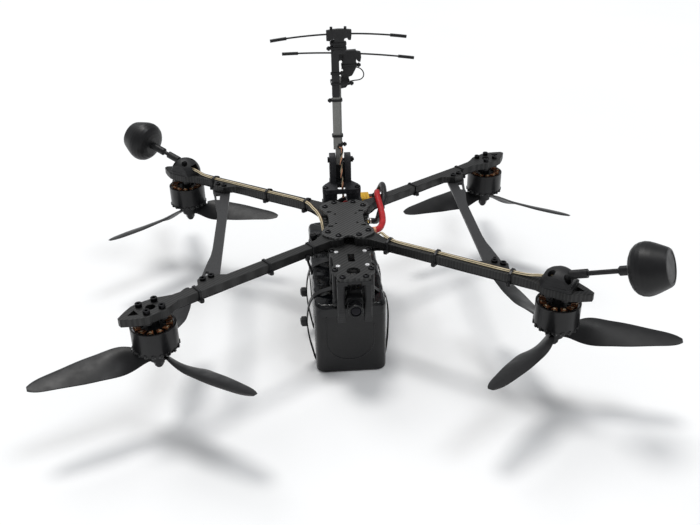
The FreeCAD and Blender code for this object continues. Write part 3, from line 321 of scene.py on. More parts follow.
carbon_twill = carbon_plate("carbon_twill", 1.15, 1.5)
carbon_top = carbon_plate("carbon_top", 1.05, 3.2)
carbon_arm = carbon_plate("carbon_arm", 0.95, 0.75)
carbon_brace = carbon_bar("carbon_brace", grey(16, 17), grey(36, 38), (0.38, 0.48))
mast_grey = carbon_bar("mast_grey", grey(180, 170), grey(310, 295), (0.42, 0.55))
mast_black = carbon_bar("mast_black", grey(7, 8), grey(18, 20), (0.4, 0.52))

black_steel = metal("black_steel", grey(8, 9), grey(30, 32), (0.28, 0.45))
silver_steel = metal("silver_steel", grey(800, 810), grey(950, 960), (0.4, 0.55))
magnet_nickel = metal("magnet_nickel", grey(140, 150), grey(340, 350), (0.25, 0.4))
copper_wire = metal("copper_wire", (0.07, 0.022, 0.012), (0.26, 0.11, 0.05), (0.3, 0.45), 0.8)
solder = metal("solder", (0.40, 0.36, 0.33), (0.65, 0.6, 0.56), (0.25, 0.4))
pad_gold = metal("pad_gold", (0.42, 0.28, 0.09), (0.65, 0.46, 0.18), (0.25, 0.4))

stator_iron = moulded("stator_iron", grey(6, 7), grey(18, 20), (0.4, 0.6))
bell_black = moulded("bell_black", grey(4, 4.6), grey(9, 10), (0.28, 0.4), 0.2, 0.006, 14.0, 0.1)
anodised = moulded("anodised_black", grey(4, 5), grey(12, 13), (0.28, 0.4), 0.25, 0.02, 5.0)
propeller_black = moulded("propeller_black", grey(5, 5.5), grey(11, 12), (0.36, 0.5), 0.5, 0.02,
                          22.0)
nylon = moulded("nylon_black", grey(4, 5), grey(11, 12), (0.3, 0.45), 0.3, 0.02, 4.0)
board = moulded("board_black", (0.003, 0.005, 0.005), (0.010, 0.014, 0.013), (0.3, 0.45), 0.8,
                0.03, 3.0)
chip = moulded("chip_black", grey(6, 6), grey(16, 16), (0.45, 0.6), 0.2, 0.02)
foam = moulded("foam_grey", grey(8, 9), grey(26, 28), (0.8, 0.95), 0.5, 0.25)
cell_black = moulded("cell_black", grey(3, 4), grey(8, 9), (0.3, 0.4))
cap_black = moulded("cap_black", grey(5, 5.6), grey(10, 11), (0.36, 0.48), 0.45, 0.04, 18.0)
stem_black = moulded("stem_black", grey(7, 8), grey(18, 19), (0.35, 0.5))
whip_black = moulded("whip_black", grey(5, 6), grey(14, 15), (0.3, 0.45))
camera_black = moulded("camera_black", grey(5, 6), grey(14, 15), (0.35, 0.5))
lens_rim = moulded("lens_rim", grey(3, 4), grey(9, 10), (0.2, 0.3))
label_white = moulded("label_white", grey(600, 600), grey(780, 780), (0.4, 0.5))
connector_yellow = moulded("connector_yellow", (0.50, 0.27, 0.006), (0.70, 0.42, 0.02),
                           (0.35, 0.5), 0.3, 0.03, 5.0)
peach_sleeve = moulded("peach_sleeve", (0.66, 0.28, 0.15), (0.8, 0.42, 0.26), (0.4, 0.5))

silicone_feel = ((0.36, 0.5), 0.4, 0.03, 7.0)
silicone_red = moulded("silicone_red", (0.32, 0.006, 0.010), (0.50, 0.016, 0.02), *silicone_feel)
silicone_orange = moulded("silicone_orange", (0.55, 0.06, 0.012), (0.68, 0.10, 0.02),
                          *silicone_feel)
silicone_black = moulded("silicone_black", grey(4, 4), grey(11, 12), *silicone_feel)
thin_feel = ((0.35, 0.5), 0.4, 0.02)
lead_cream = moulded("lead_cream", (0.52, 0.42, 0.25), (0.74, 0.64, 0.44), *thin_feel)
lead_brown = moulded("lead_brown", (0.08, 0.035, 0.016), (0.17, 0.075, 0.035), *thin_feel)
coax_black = moulded("coax_black", grey(4, 4), grey(12, 12), (0.35, 0.5), 0.3, 0.02)
tooth_cream = moulded("tooth_cream", (0.30, 0.24, 0.15), (0.5, 0.42, 0.28), (0.4, 0.5), 0.4,
                      0.02)

printed_mount = printed("printed_mount", "Z", grey(6, 7), grey(14, 15))
printed_bracket = printed("printed_bracket", "X", grey(9, 11), grey(20, 23), 0.9)
printed_pod = printed("printed_pod", "Z", grey(5, 6), grey(11, 12), 0.5)
printed_clamp = printed("printed_clamp", "Y", grey(5, 6), grey(12, 13), 0.5)
sleeve = braided("sleeve_black", grey(2, 2), grey(14, 15))
wrap_gloss = film("wrap_gloss", (0.0014, 0.0016, 0.0022), (0.0045, 0.0052, 0.0070),
                  (0.10, 0.22))
wrap_satin = film("wrap_satin", grey(4.5, 5), grey(9, 10), (0.38, 0.5), 0.1)
glass = lens_glass("lens_glass")


# ---- Mesh helpers

def put(name, data):
    """A new object in the scene."""
    made = bpy.data.objects.new(name, data)
    bpy.context.scene.collection.objects.link(made)
    return made


def claim(made, body, replaces):
    """Tells the frame what a piece rides on and what it stands in for."""
    if body:
        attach(made, body)
    if replaces:
        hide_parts(*replaces)
    return made


def neighbours(path, index, closed=False):
    """The places before and after a place on a path."""
    last = len(path) - 1
    before = path[index - 1] if index or closed else path[0]
    after = path[(index + 1) % len(path)] if index < last or closed else path[last]
    return before, after


def circle(centre, side, up, radius, sides):
    """Points round a circle in the plane of side and up."""
    return [centre + side * (radius * math.cos(a)) + up * (radius * math.sin(a))
            for a in (2 * math.pi * k / sides for k in range(sides))]


class Sculpt:
    """Collects the surfaces of one piece in millimetres, then makes its object."""

    def __init__(self):
        self.points = []
        self.faces = []

    def rings(self, rows, closed=False, caps=True):
        """Joins rings of points into a skin. closed joins the last ring to the first."""
        first = len(self.points)
        count = len(rows[0])
        for row in rows:
            self.points.extend(Vector(p) for p in row)
        spans = len(rows) if closed else len(rows) - 1
        for r in range(spans):
            a = first + r * count
            b = first + (r + 1) % len(rows) * count
            for i in range(count):
                j = (i + 1) % count
                self.faces.append((a + i, a + j, b + j, b + i))
        if caps and not closed:
            self.faces.append(tuple(first + i for i in reversed(range(count))))
            last = first + (len(rows) - 1) * count
            self.faces.append(tuple(last + i for i in range(count)))

    def tube(self, path, radius, sides=10, closed=False):
        """A round tube along a path."""
        rows = []
        side = None
        for index, point in enumerate(path):
            before, after = neighbours(path, index, closed)
            ahead = (after - before).normalized()
            if side is None:
                side = ahead.cross(Z if abs(ahead.z) < 0.9 else X).normalized()
            side = (side - ahead * side.dot(ahead)).normalized()
            rows.append(circle(point, side, ahead.cross(side), radius, sides))
        self.rings(rows, closed)

    def band(self, path, across, width, thickness, closed=True, outside=1.0):
        """A flat strap along a path: across is its width's direction, and it grows outside."""
        rows = []
        soft = min(width, thickness) * 0.3
        for index, point in enumerate(path):
            before, after = neighbours(path, index, closed)
            out = (after - before).normalized().cross(across).normalized() * outside
            half = width / 2
            shape = [(-half + soft, 0), (half - soft, 0), (half, soft), (half, thickness - soft),
                     (half - soft, thickness), (-half + soft, thickness),
                     (-half, thickness - soft), (-half, soft)]
            rows.append([point + across * a + out * b for a, b in shape])
        self.rings(rows, closed)

    def block(self, centre, size, soft=0.3, axes=(X, Y, Z)):
        """A box with chamfered edges on all sides."""
        hx, hy, hz = (s / 2 for s in size)
        soft = min(soft, hx * 0.6, hy * 0.6, hz * 0.6)
        rows = []
        for z, inset in ((-hz, soft), (-hz + soft, 0), (hz - soft, 0), (hz, soft)):
            x, y = hx - inset, hy - inset
            shape = [(-x + soft, -y), (x - soft, -y), (x, -y + soft), (x, y - soft),
                     (x - soft, y), (-x + soft, y), (-x, y - soft), (-x, -y + soft)]
            rows.append([centre + axes[0] * a + axes[1] * b + axes[2] * z for a, b in shape])
        self.rings(rows)

    def turned(self, profile, centre, axis, sides=24):
        """Turns a (radius, height) profile about an axis."""
        axis = axis.normalized()
        side = axis.cross(X if abs(axis.x) < 0.9 else Y).normalized()
        self.rings([circle(centre + axis * height, side, axis.cross(side), radius, sides)
                    for radius, height in profile])

    def piece(self, name, material, body, slot, smooth=40.0, replaces=()):
        mesh = bpy.data.meshes.new(name)
        mesh.from_pydata([p * MM for p in self.points], [], self.faces)
        mesh.validate()
        mesh.update()
        mesh.materials.append(material)
        for polygon in mesh.polygons:
            polygon.use_smooth = True
        mesh.set_sharp_from_angle(angle=math.radians(smooth))
        return claim(put(name, mesh), body, replaces)


def smooth_path(points, steps=6, closed=False):
    """Points on a Catmull-Rom curve through the given points."""
    pts = [Vector(p) for p in points]
    count = len(pts)
    made = []
    spans = count if closed else count - 1
    for i in range(spans):
        if closed:
            p0, p1, p2, p3 = (pts[(i + k - 1) % count] for k in range(4))
        else:
            p0, p1, p2, p3 = (pts[min(max(i + k - 1, 0), count - 1)] for k in range(4))
        for step in range(steps):
            t = step / steps
            made.append(0.5 * (2 * p1 + (p2 - p0) * t + (2 * p0 - 5 * p1 + 4 * p2 - p3) * t ** 2
                               + (3 * p1 - p0 - 3 * p2 + p3) * t ** 3))
    if not closed:
        made.append(pts[-1])
    return made


def rounded_path(points, radius, steps=4):
    """A closed path through corner points, each rounded to the radius."""
    pts = [Vector(p) for p in points]
    made = []
    for i, here in enumerate(pts):
        to_before = pts[i - 1] - here
        to_after = pts[(i + 1) % len(pts)] - here
        reach = min(radius, to_before.length * 0.45, to_after.length * 0.45)
        start = here + to_before.normalized() * reach
        end = here + to_after.normalized() * reach
        for step in range(steps + 1):
            t = step / steps
            made.append(start * (1 - t) ** 2 + here * (2 * t * (1 - t)) + end * t ** 2)
    return made


def nurbs_points(points, resolution=8):
    """Points read from the NURBS spline of a route."""
    curve = nurbs_curve("route", points, resolution)
    holder = bpy.data.objects.new("route", curve)
    mesh = bpy.data.meshes.new_from_object(holder)
    made = [v.co / MM for v in mesh.vertices]
    bpy.data.objects.remove(holder)
    bpy.data.meshes.remove(mesh)
    bpy.data.curves.remove(curve)
    return made


def nurbs_curve(name, points, resolution=8):
    curve = bpy.data.curves.new(name, "CURVE")
    curve.dimensions = "3D"
    curve.resolution_u = resolution
    spline = curve.splines.new("NURBS")
    spline.points.add(len(points) - 1)
    for target, point in zip(spline.points, points):
        target.co = (*(Vector(point) * MM), 1.0)
    spline.order_u = 3
    spline.use_endpoint_u = True
    return curve


def lead(name, points, diameter, material, body, replaces=()):
    """A round lead as a smooth curve along its route."""
    curve = nurbs_curve(name, points)
    curve.bevel_depth = diameter / 2 * MM
    curve.bevel_resolution = 4
    curve.use_fill_caps = True
    curve.materials.append(material)
    return claim(put(name, curve), body, replaces)


# ---- Finishes of the CAD nodes

def finish_nodes():
    finishes = {
        carbon_twill: ["mid_plate", "battery_plate"], carbon_top: ["top_plate"],
        carbon_arm: ["arm_" + corner for corner in corners], carbon_brace: ["braces"],
        black_steel: ["frame_screws", "brace_screws", "motor_screws", "housing_screws",
                      "stack_spacers", "mast_pivot_bolt", "camera_screws"],
        silver_steel: ["transmitter_screws"],
        anodised: ["standoffs", "motor_bases"] + ["prop_nut_" + corner for corner in corners],
        stator_iron: ["stators"],
        bell_black: ["rotor_bell_" + corner for corner in corners],
        propeller_black: ["propeller_" + corner for corner in corners],
        board: ["speed_controller", "flight_controller"],
        chip: ["video_transmitter", "receiver"],
        printed_mount: ["camera_mount"], printed_bracket: ["rear_bracket"],
        printed_pod: ["antenna_pods"], printed_clamp: ["antenna_clamps"],
        stem_black: ["mushroom_stems"], cap_black: ["mushroom_caps"],
        whip_black: ["t_antenna_upper", "t_antenna_lower"],
        camera_black: ["camera_body"], lens_rim: ["camera_lens"],
        mast_grey: ["mast_lower"], mast_black: ["mast_upper"],
        foam: ["battery_pad"], cell_black: ["battery_cells"],
        connector_yellow: ["power_connector"],
        silicone_red: ["red_lead"], silicone_black: ["black_lead"],
        sleeve: ["motor_wires"],
        lead_cream: ["antenna_wires", "mast_leads_lower", "mast_leads_upper"],
        nylon: ["arm_ties", "mast_ties", "battery_ties"], wrap_gloss: ["battery_wrap"],
    }
    for material, nodes in finishes.items():
        for node in nodes:
            for holder in frame["nodes"][node].material_slots:
                holder.material = material


# ---- Stage, lights and camera

def make_stage():
    mesh = bpy.data.meshes.new("floor")
    reach = 40.0
    mesh.from_pydata([(-reach, -reach, 0), (reach, -reach, 0), (reach, reach, 0),
                      (-reach, reach, 0)], [], [(0, 1, 2, 3)])
    floor = put("floor", mesh)
    material, tree, shader = new_material("floor_white")
    tone = ramp_of(tree, noise_of(tree, 400.0), (0.9, 0.905, 0.91), (0.93, 0.93, 0.935))
    feed(tree, shader, {"Base Color": tone, "Roughness": 0.7})
    mesh.materials.append(material)


def sun_light(name, coming_from, power, spread, colour=(1, 1, 1)):
    light = bpy.data.lights.new(name, "SUN")
    light.energy = power
    light.angle = math.radians(spread)
    light.color = colour
    holder = put(name, light)
    holder.rotation_mode = "QUATERNION"
    holder.rotation_quaternion = Vector(coming_from).to_track_quat("Z", "Y")


def make_lights():
    """An even pale surround with a white backdrop, and three wide soft lights overhead."""
    world = bpy.data.worlds.new("studio")
    world.use_nodes = True
    tree = world.node_tree
    on_object = feed(tree, tree.nodes["Background"], {0: (0.96, 0.98, 1.0, 1), 1: 0.42})
    backdrop = new_node(tree, "Background", {0: (1, 1, 1, 1), 1: 1.0})
    path = new_node(tree, "LightPath", {})
    either = new_node(tree, "MixShader", {0: path.outputs["Is Camera Ray"],
                                          1: on_object.outputs[0], 2: backdrop.outputs[0]})
    feed(tree, tree.nodes["World Output"], {"Surface": either.outputs[0]})
    bpy.context.scene.world = world
    bpy.context.scene.view_settings.view_transform = "Standard"
    sun_light("key", (-0.12, 0.22, 1.0), 1.25, 16.0, (1.0, 0.99, 0.97))
    sun_light("second", (0.42, -0.12, 1.0), 0.75, 20.0, (0.97, 0.985, 1.0))
    sun_light("third", (-0.35, 0.75, 1.0), 0.5, 24.0)


def make_camera():
    """The camera stands in front of the craft, a little to its left, looking 29 degrees down."""
    yaw, pitch, roll = 0.068, 0.510, 0.018
    ahead = Vector((math.sin(yaw) * math.cos(pitch), math.cos(yaw) * math.cos(pitch),
                    -math.sin(pitch)))
    level = Vector((math.cos(yaw), -math.sin(yaw), 0))
    down = ahead.cross(level)
    right = level * math.cos(roll) + down * math.sin(roll)
    up = level * math.sin(roll) - down * math.cos(roll)
    camera = bpy.data.cameras.new("camera")
    camera.lens = 41.88
    camera.sensor_width = 36.0
    camera.clip_start = 0.02
    holder = put("camera", camera)
    turn = Matrix((right, up, -ahead)).transposed().to_4x4()
    holder.matrix_world = Matrix.Translation((-0.0439, -0.6884, 0.4574)) @ turn
    bpy.context.scene.camera = holder


# ---- Battery

corner_radius = 9.0
cell_pitch = 21.2
arc_steps = 8
straight_steps = (68, 28, 68, 28)
tie_ys = [-58.0, -5.0, 52.0]


def clamp(value, low, high):
    return min(max(value, low), high)


def ramp_up(value, start, length):
    """0 up to start, then rising to 1 over the length."""
    return clamp((value - start) / length, 0.0, 1.0)


def battery_ring(inset, z):
    """Points round the pack's outline, drawn in by inset, at one height."""
    x0, x1 = battery_low.x + inset, battery_high.x - inset
    y0, y1 = battery_low.y + inset, battery_high.y - inset
    r = max(corner_radius - inset, 0.6)
    points = []
    corners_of_pack = [(x1 - r, y0 + r, -90), (x1 - r, y1 - r, 0),
                       (x0 + r, y1 - r, 90), (x0 + r, y0 + r, 180)]
    for index, (cx, cy, start) in enumerate(corners_of_pack):
        for step in range(arc_steps + 1):
            a = math.radians(start + 90.0 * step / arc_steps)
            points.append(Vector((cx + r * math.cos(a), cy + r * math.sin(a), z)))
        nx, ny, nstart = corners_of_pack[(index + 1) % 4]
        a = math.radians(nstart)
        following = Vector((nx + r * math.cos(a), ny + r * math.sin(a), z))
        here = points[-1]
        for step in range(1, straight_steps[index]):
            points.append(here.lerp(following, step / straight_steps[index]))
    return points


def wrap_relief(point, up_amount):
    """How far the film moves outward at a place: cells behind it, creases and tension."""
    middle_x, scallop_depth, crease_height, fine_height, deepest = -2.5, 0.7, 0.8, 0.35, -0.35
    scallop = abs(math.sin(math.pi * (point.y - battery_low.y) / cell_pitch)) - 1.0
    side_wall = ramp_up(abs(point.x - middle_x), 26.0, 4.0)
    to_end = min(point.y - battery_low.y, battery_high.y - point.y)
    inside_ends = ramp_up(to_end, 8.0, 8.0)
    relief = scallop_depth * scallop * side_wall * inside_ends * (1 - up_amount)
    near_top = ramp_up(point.z, 52.0, 18.0)
    creases = noise.noise(Vector((point.x * 0.10, point.y * 0.05, point.z * 0.34)))
    fine = noise.noise(Vector((point.x * 0.3, point.y * 0.3, point.z * 0.22 + 7.0)))
    return max(relief + near_top * (crease_height * creases + fine_height * fine), deepest)


def battery_core(point):
    """The nearest place on the pack's middle line, at a point's own height."""
    reach = (battery_high.x - battery_low.x) / 2
    return Vector(((battery_low.x + battery_high.x) / 2,
                   clamp(point.y, battery_low.y + reach, battery_high.y - reach), point.z))


def battery_levels():
    """Rings from the bottom up: how far each is drawn in, its height, how far it faces up."""
    bottom_round, top_round = 2.2, 4.5
    bottom_steps, wall_steps, top_steps = 4, 27, 7
    for step in range(bottom_steps):
        a = math.radians(90.0 * step / bottom_steps)
        yield bottom_round * (1 - math.sin(a)), bottom_round * (1 - math.cos(a)), 0.0
    wall = battery_high.z - bottom_round - top_round
    for step in range(wall_steps + 1):
        yield 0.0, bottom_round + wall * step / wall_steps, 0.0
    for step in range(1, top_steps + 1):
        a = math.radians(90.0 * step / top_steps)
        drop = top_round * (1 - math.sin(a))
        yield top_round * (1 - math.cos(a)), battery_high.z - drop, math.sin(a)


def battery_end(row, up):
    """Rings from a rim to the pack's middle line, with the cells' tops pressed through."""
    made = []
    steps = 14
    for step in range(1, steps + 1):
        ring = []
        for point in row:
            place = point.lerp(battery_core(point), step / (steps + 0.5))
            if up:
                swell = 0.35 * math.sin(place.x * 0.296 + 0.75) * math.sin(place.y * 0.296)
                creases = noise.noise(Vector((place.x * 0.09, place.y * 0.25, 3.0)))
                place.z += swell + 0.7 * creases
            ring.append(place)
        made.append(ring)
    return made


def make_battery_film():
    tie_room, tie_groove = 4.6, 1.6
    satin_depth, gloss_height = 4.0, 12.0
    rows = []
    for inset, z, up_amount in battery_levels():
        row = []
        for point in battery_ring(inset, z):
            out = (point - battery_core(point)).normalized()
            out = (out * (1 - up_amount) + Z * up_amount).normalized()
            row.append(point + out * wrap_relief(point, up_amount))
        rows.append(row)
    rows = list(reversed(battery_end(rows[0], False))) + rows + battery_end(rows[-1], True)
    for row in rows:
        for point in row:
            near_tie = any(abs(point.y - y) < tie_room for y in tie_ys)
            point.z = clamp(point.z, tie_groove if near_tie else 0.0, battery_high.z)
    sculpt = Sculpt()
    sculpt.rings(rows)
    made = sculpt.piece("battery_film", wrap_gloss, "airframe", "wrap_black", 80.0,
                        ["battery_wrap"])
    made.data.materials.append(wrap_satin)
    for polygon in made.data.polygons:
        place = polygon.center / MM
        if place.y < battery_low.y + satin_depth and place.z < battery_high.z - gloss_height:
            polygon.material_index = 1


def make_battery_seam():
    """The film's lapped end on the front face: a low ridge in the shape of a U."""
    sculpt = Sculpt()
    middle, half, top, low, bend = -3.0, 21.3, 61.0, 14.6, 18.0
    y = battery_low.y + 0.15
    path = [Vector((middle - half, y, top)), Vector((middle - half - 0.2, y, 48.0))]
    for step in range(13):
        a = math.pi * (1 + step / 12)
        flat = 1.0 if step < 6 else 1.1
        path.append(Vector((middle + half * math.cos(a), y,
                            low + bend * flat + bend * flat * math.sin(a))))
    path.append(Vector((middle + half + 0.1, y, 52.0)))
    sculpt.tube(smooth_path(path, 4), 0.55, 8)
    sculpt.piece("battery_seam", wrap_gloss, "airframe", "wrap_black")


def buckle(sculpt, centre, along, across, out, size, tail=0.0):
    """A tie's buckle with its strap's cut end. along is the way that the strap runs."""
    axes = (along, across, out)
    length, width, height = size
    sculpt.block(centre, size, 0.8, axes)
    sculpt.block(centre + out * (height / 2 + 0.2), (length * 0.7, width * 0.5, 0.8), 0.2, axes)
    if tail:
        sculpt.block(centre + along * (length / 2 + tail / 2 - 0.5) + out * 0.6,
                     (tail, width * 0.62, 1.1), 0.3, axes)


def make_battery_ties():
    """Three wide ties round the pack and over the battery plate, loose at the sides."""
    left, right = battery_low.x, battery_high.x
    top, plate = battery_high.z, z_bay + 0.3
    strap_width, strap_thickness = 6.6, 1.05
    buckle_length, buckle_width = 6.8, 8.4
    for index, (y, bulge, slack) in enumerate(zip(tie_ys, (6.3, 5.2, 1.0), (3.0, 2.0, 0.6))):
        outline = [(left + 5.0, 0.5), (left - 0.4, 3.4), (left - 0.7 - bulge * 0.35, 13.0),
                   (left - 0.8 - bulge * 0.8, 28.0), (left - 0.8 - bulge, 45.0),
                   (left - 0.8 - bulge * 0.7, 60.0), (left - 0.4 - bulge * 0.1, 70.0),
                   (left + 5.5, top + 1.8), (-19.5, plate - 0.2), (-15.0, plate + 0.25),
                   (0.0, plate + 0.1), (15.0, plate + 0.25), (19.5, plate - 0.2),
                   (right - 6.0, top + 1.2), (right + 0.3 + 0.3 * slack, top - 4.5),
                   (right + 0.7 + slack, 55.0), (right + 1.0 + slack, 38.0),
                   (right + 0.8 + 0.7 * slack, 18.0), (right + 0.3, 3.4),
                   (right - 5.0, 0.5), (0.0, 0.45)]
        path = smooth_path([(x, y + 0.02 * z - 1.0, z) for x, z in outline], 4, True)
        sculpt = Sculpt()
        sculpt.band(path, Y, strap_width, strap_thickness, True, -1.0)
        if index < 2:
            place = Vector((left - 3.0 - bulge, y, 44.5 - index * 0.5))
            buckle(sculpt, place, Vector((0.05, 0, -1)).normalized(), Y, -X,
                   (buckle_length, buckle_width, 5.6))
        else:
            place = Vector((left + 4.0, y, top + 3.2))
            buckle(sculpt, place, Vector((1, 0, 0.25)).normalized(), Y,
                   Vector((-0.25, 0, 1)).normalized(), (buckle_length, buckle_width, 4.2), 5.0)
        sculpt.piece("battery_tie_%d" % (index + 1), nylon, "airframe", "tie_nylon",
                     35.0, ["battery_ties"] if index == 0 else ())


# ---- Ties on the arms and mast

arm_tie_places = [-41.5, -110.0, -157.0]


def make_arm_ties():
    strap_width, strap_thickness = 2.5, 1.05
    half = arm_half_width + 0.1
    low, high = sleeve_low - 0.1, z_arm_top + 0.1
    for corner, (side_x, front) in corners.items():
        sculpt = Sculpt()
        outward, inward = arm_axes(corner)
        wire_room = 1.75 if corner in pod_corners else 0.0
        shape = [(-half, low + 1.6), (-half + 1.0, low), (half - 1.0, low), (half, low + 1.6),
                 (half, high), (half - 2.6, high + wire_room), (-1.2, high + wire_room),
                 (-half, high)]
        for s in arm_tie_places:
            path = rounded_path([arm_point(corner, s, t, z) for t, z in shape], 0.9)
            sculpt.band(path, outward, strap_width, strap_thickness, True, -side_x * front)
            head = arm_point(corner, s, front * (half + 1.7), low + 1.6)
            buckle(sculpt, head, -Z, outward, inward * front, (3.8, 3.9, 3.0))
        if corner == "front_left":
            start = arm_point(corner, arm_tie_places[2] + 8.0, -half - 1.0, low + 2.0)
            buckle(sculpt, start, -Z, outward, inward * front, (5.2, 4.2, 3.2))
            tail = [start, start + Vector((0.8, -0.8, -4.5)), start + Vector((2.2, -1.4, -9.0)),
                    start + Vector((3.4, -1.2, -13.0)), start + Vector((3.2, -0.4, -17.0))]
            sculpt.band(smooth_path(tail, 5), outward, 2.3, 0.9, False)
        sculpt.piece("arm_ties_" + corner, nylon, "airframe", "tie_nylon", 35.0,
                     ["arm_ties"] if corner == "front_left" else ())


def make_mast_ties():
    """Ties round the mast and its clamps. A head of -1 or 1 puts the buckle left or right."""
    sculpt = Sculpt()
    front, rear = mast_low.y - 1.4, mast_high.y + 0.1
    left, right = -6.3, mast_high.x + 0.1
    buckle_size = (3.6, 3.9, 2.9)
    strap_width, strap_thickness = 2.4, 0.95
    for height, x0, x1, y0, y1, head in (
            (118.2, left, 7.3, 70.1, 77.1, 0), (114.0, left, 7.3, 70.1, 77.1, -1),
            (94.5, 4.5, 18.1, 81.7, 87.4, 1), (89.0, left, 1.3, 74.7, 77.1, 1),
            (79.0, left, 10.5, 74.7, 87.4, 1), (62.3, left, right, front, rear, -1),
            (26.0, left, right, front, rear, 0),
            (17.0, mast_low.x + 3.5, right, front - 0.1, rear, 1)):
        z = mast_pivot.z + height
        path = rounded_path([(x0, y0, z), (x1, y0, z), (x1, y1, z), (x0, y1, z)], 0.8)
        sculpt.band(path, Z, strap_width, strap_thickness)
        if head:
            place = Vector(((x0 if head < 0 else x1) + head * (0.8 + buckle_size[2] / 2),
                            y0 + 1.4, z))
            buckle(sculpt, place, -Y, Z, X * head, buckle_size)
    sculpt.piece("mast_tie_loops", nylon, "mast", "tie_nylon", 35.0, ["mast_ties"])


# ---- Motors

teeth, turns_per_tooth, wire_radius = 12, 6, 0.42
tooth_half_width = 1.25
first_turn_radius, turn_pitch = 8.7, 0.92
magnet_count, magnet_half_angle = 14, 0.19
magnet_inner, magnet_outer, magnet_length = 15.65, 17.05, 17.5
bell_height, bell_top_wall = 26.1, 4.0
fin_count, fin_radius, fin_rise, fin_size = 18, 18.65, 1.9, (1.1, 2.3, 3.4)


def make_windings(corner, centre):
    low, high = stator_low.z - 0.6, stator_high.z + 0.6
    windings, tabs = Sculpt(), Sculpt()
    for tooth, (out, side) in enumerate(spokes(teeth)):
        for turn in range(turns_per_tooth):
            r = first_turn_radius + turn_pitch * turn
            waver = 0.05 * noise.noise(Vector((tooth, turn, 0)))
            half = tooth_half_width + wire_radius + 0.12 * turn + waver
            rise = 0.5 + 0.18 * turn
            shape = [(-half, low), (half, low), (half, high + rise), (-half, high + rise)]
            path = rounded_path([centre + out * (r + 0.02 * z) + side * t + Z * z
                                 for t, z in shape], 1.2, 3)
            windings.tube(path, wire_radius, 6, True)
        tabs.block(centre + out * 14.6 + Z * (high + 0.9), (0.8, 2.1, 2.6), 0.25, (out, side, Z))
    windings.piece("windings_" + corner, copper_wire, "airframe", "stator_steel", 60.0)
    tabs.piece("winding_tabs_" + corner, tooth_cream, "airframe", "lead_cream")


def make_bell_details(corner, centre):
    """The small fins round the bell's lower edge, and the magnets inside it."""
    rotor = "rotor_" + corner
    fins, magnets = Sculpt(), Sculpt()
    z_fin = bell_high.z - bell_height + fin_rise
    for out, side in spokes(fin_count, 10.0):
        fins.block(centre + out * fin_radius + Z * z_fin, fin_size, 0.25, (out, side, Z))
    fins.piece("bell_fins_" + corner, bell_black, rotor, "black_aluminium")
    z0 = bell_high.z - 0.3 - bell_top_wall - magnet_length
    z1 = bell_high.z - bell_top_wall - 1.1
    shape = [(magnet_inner, z0), (magnet_outer, z0), (magnet_outer, z1), (magnet_inner, z1)]
    for k in range(magnet_count):
        middle = 2 * math.pi * k / magnet_count
        magnets.rings([[Vector((centre.x + r * math.cos(a), centre.y + r * math.sin(a), z))
                        for r, z in shape]
                       for a in (middle - magnet_half_angle, middle, middle + magnet_half_angle)])
    magnets.piece("magnets_" + corner, magnet_nickel, rotor, "black_aluminium", 30.0)


def make_phase_leads():
    """Three phase leads go from each stator under the pad into the sleeve."""
    spacing, radius = 2.6, 1.05
    for corner in corners:
        sculpt = Sculpt()
        for offset in (-spacing, 0.0, spacing):
            route = [(-6.5, offset * 0.8, stator_high.z + 1.5), (-10.5, offset, z_arm - 1.4),
                     (-16.0, offset, z_arm - 1.3), (-24.0, offset, z_arm - 1.3)]
            path = nurbs_points([arm_point(corner, *place) for place in route])
            sculpt.tube(path, radius, 8)
        sculpt.piece("phase_leads_" + corner, silicone_black, "airframe", "silicone_black")


def make_motor_sleeves():
    """A flat braided sleeve under each arm, drawn over the phase leads."""
    route = [(-17.0, z_arm - 1.4), (-24.0, z_arm - 1.3), (-70.0, z_arm - 1.3),
             (-115.0, z_arm - 1.3), (-156.0, z_arm - 1.3), (-166.0, z_arm - 2.6),
             (-173.0, z_mid - 2.6), (-180.0, z_mid - 4.3)]
    half_width, half_height, sides = 4.15, 1.02, 18
    for index, corner in enumerate(corners):
        path = smooth_path([arm_point(corner, s, 0, z) for s, z in route], 10)
        inward = arm_axes(corner)[1]
        rows = []
        for step, point in enumerate(path):
            before, after = neighbours(path, step)
            up = (after - before).cross(inward).normalized()
            if up.z < 0:
                up = -up
            share = step / (len(path) - 1)
            flare = 1.0 + 0.12 * noise.noise(Vector((share * 14.0, index * 3.0, 0)))
            ring = []
            for k in range(sides):
                a = 2 * math.pi * k / sides
                wide = half_width * math.cos(a) * flare
                ridge = 1.0 + 0.16 * abs(math.sin(3 * a))
                flat = math.copysign(abs(math.sin(a)) ** 0.6, math.sin(a))
                tall = half_height * flat * ridge
                ring.append(point + inward * wide + up * tall)
            rows.append(ring)
        sculpt = Sculpt()
        sculpt.rings(rows)
        sculpt.piece("motor_sleeve_" + corner, sleeve, "airframe", "sleeve_black", 60.0,
                     ["motor_wires"] if index == 0 else ())


# ---- Leads

plug_low, plug_high = box_mm("power_connector")
z_plug = (plug_low.z + plug_high.z) / 2
z_pad = z_arm + 3.6


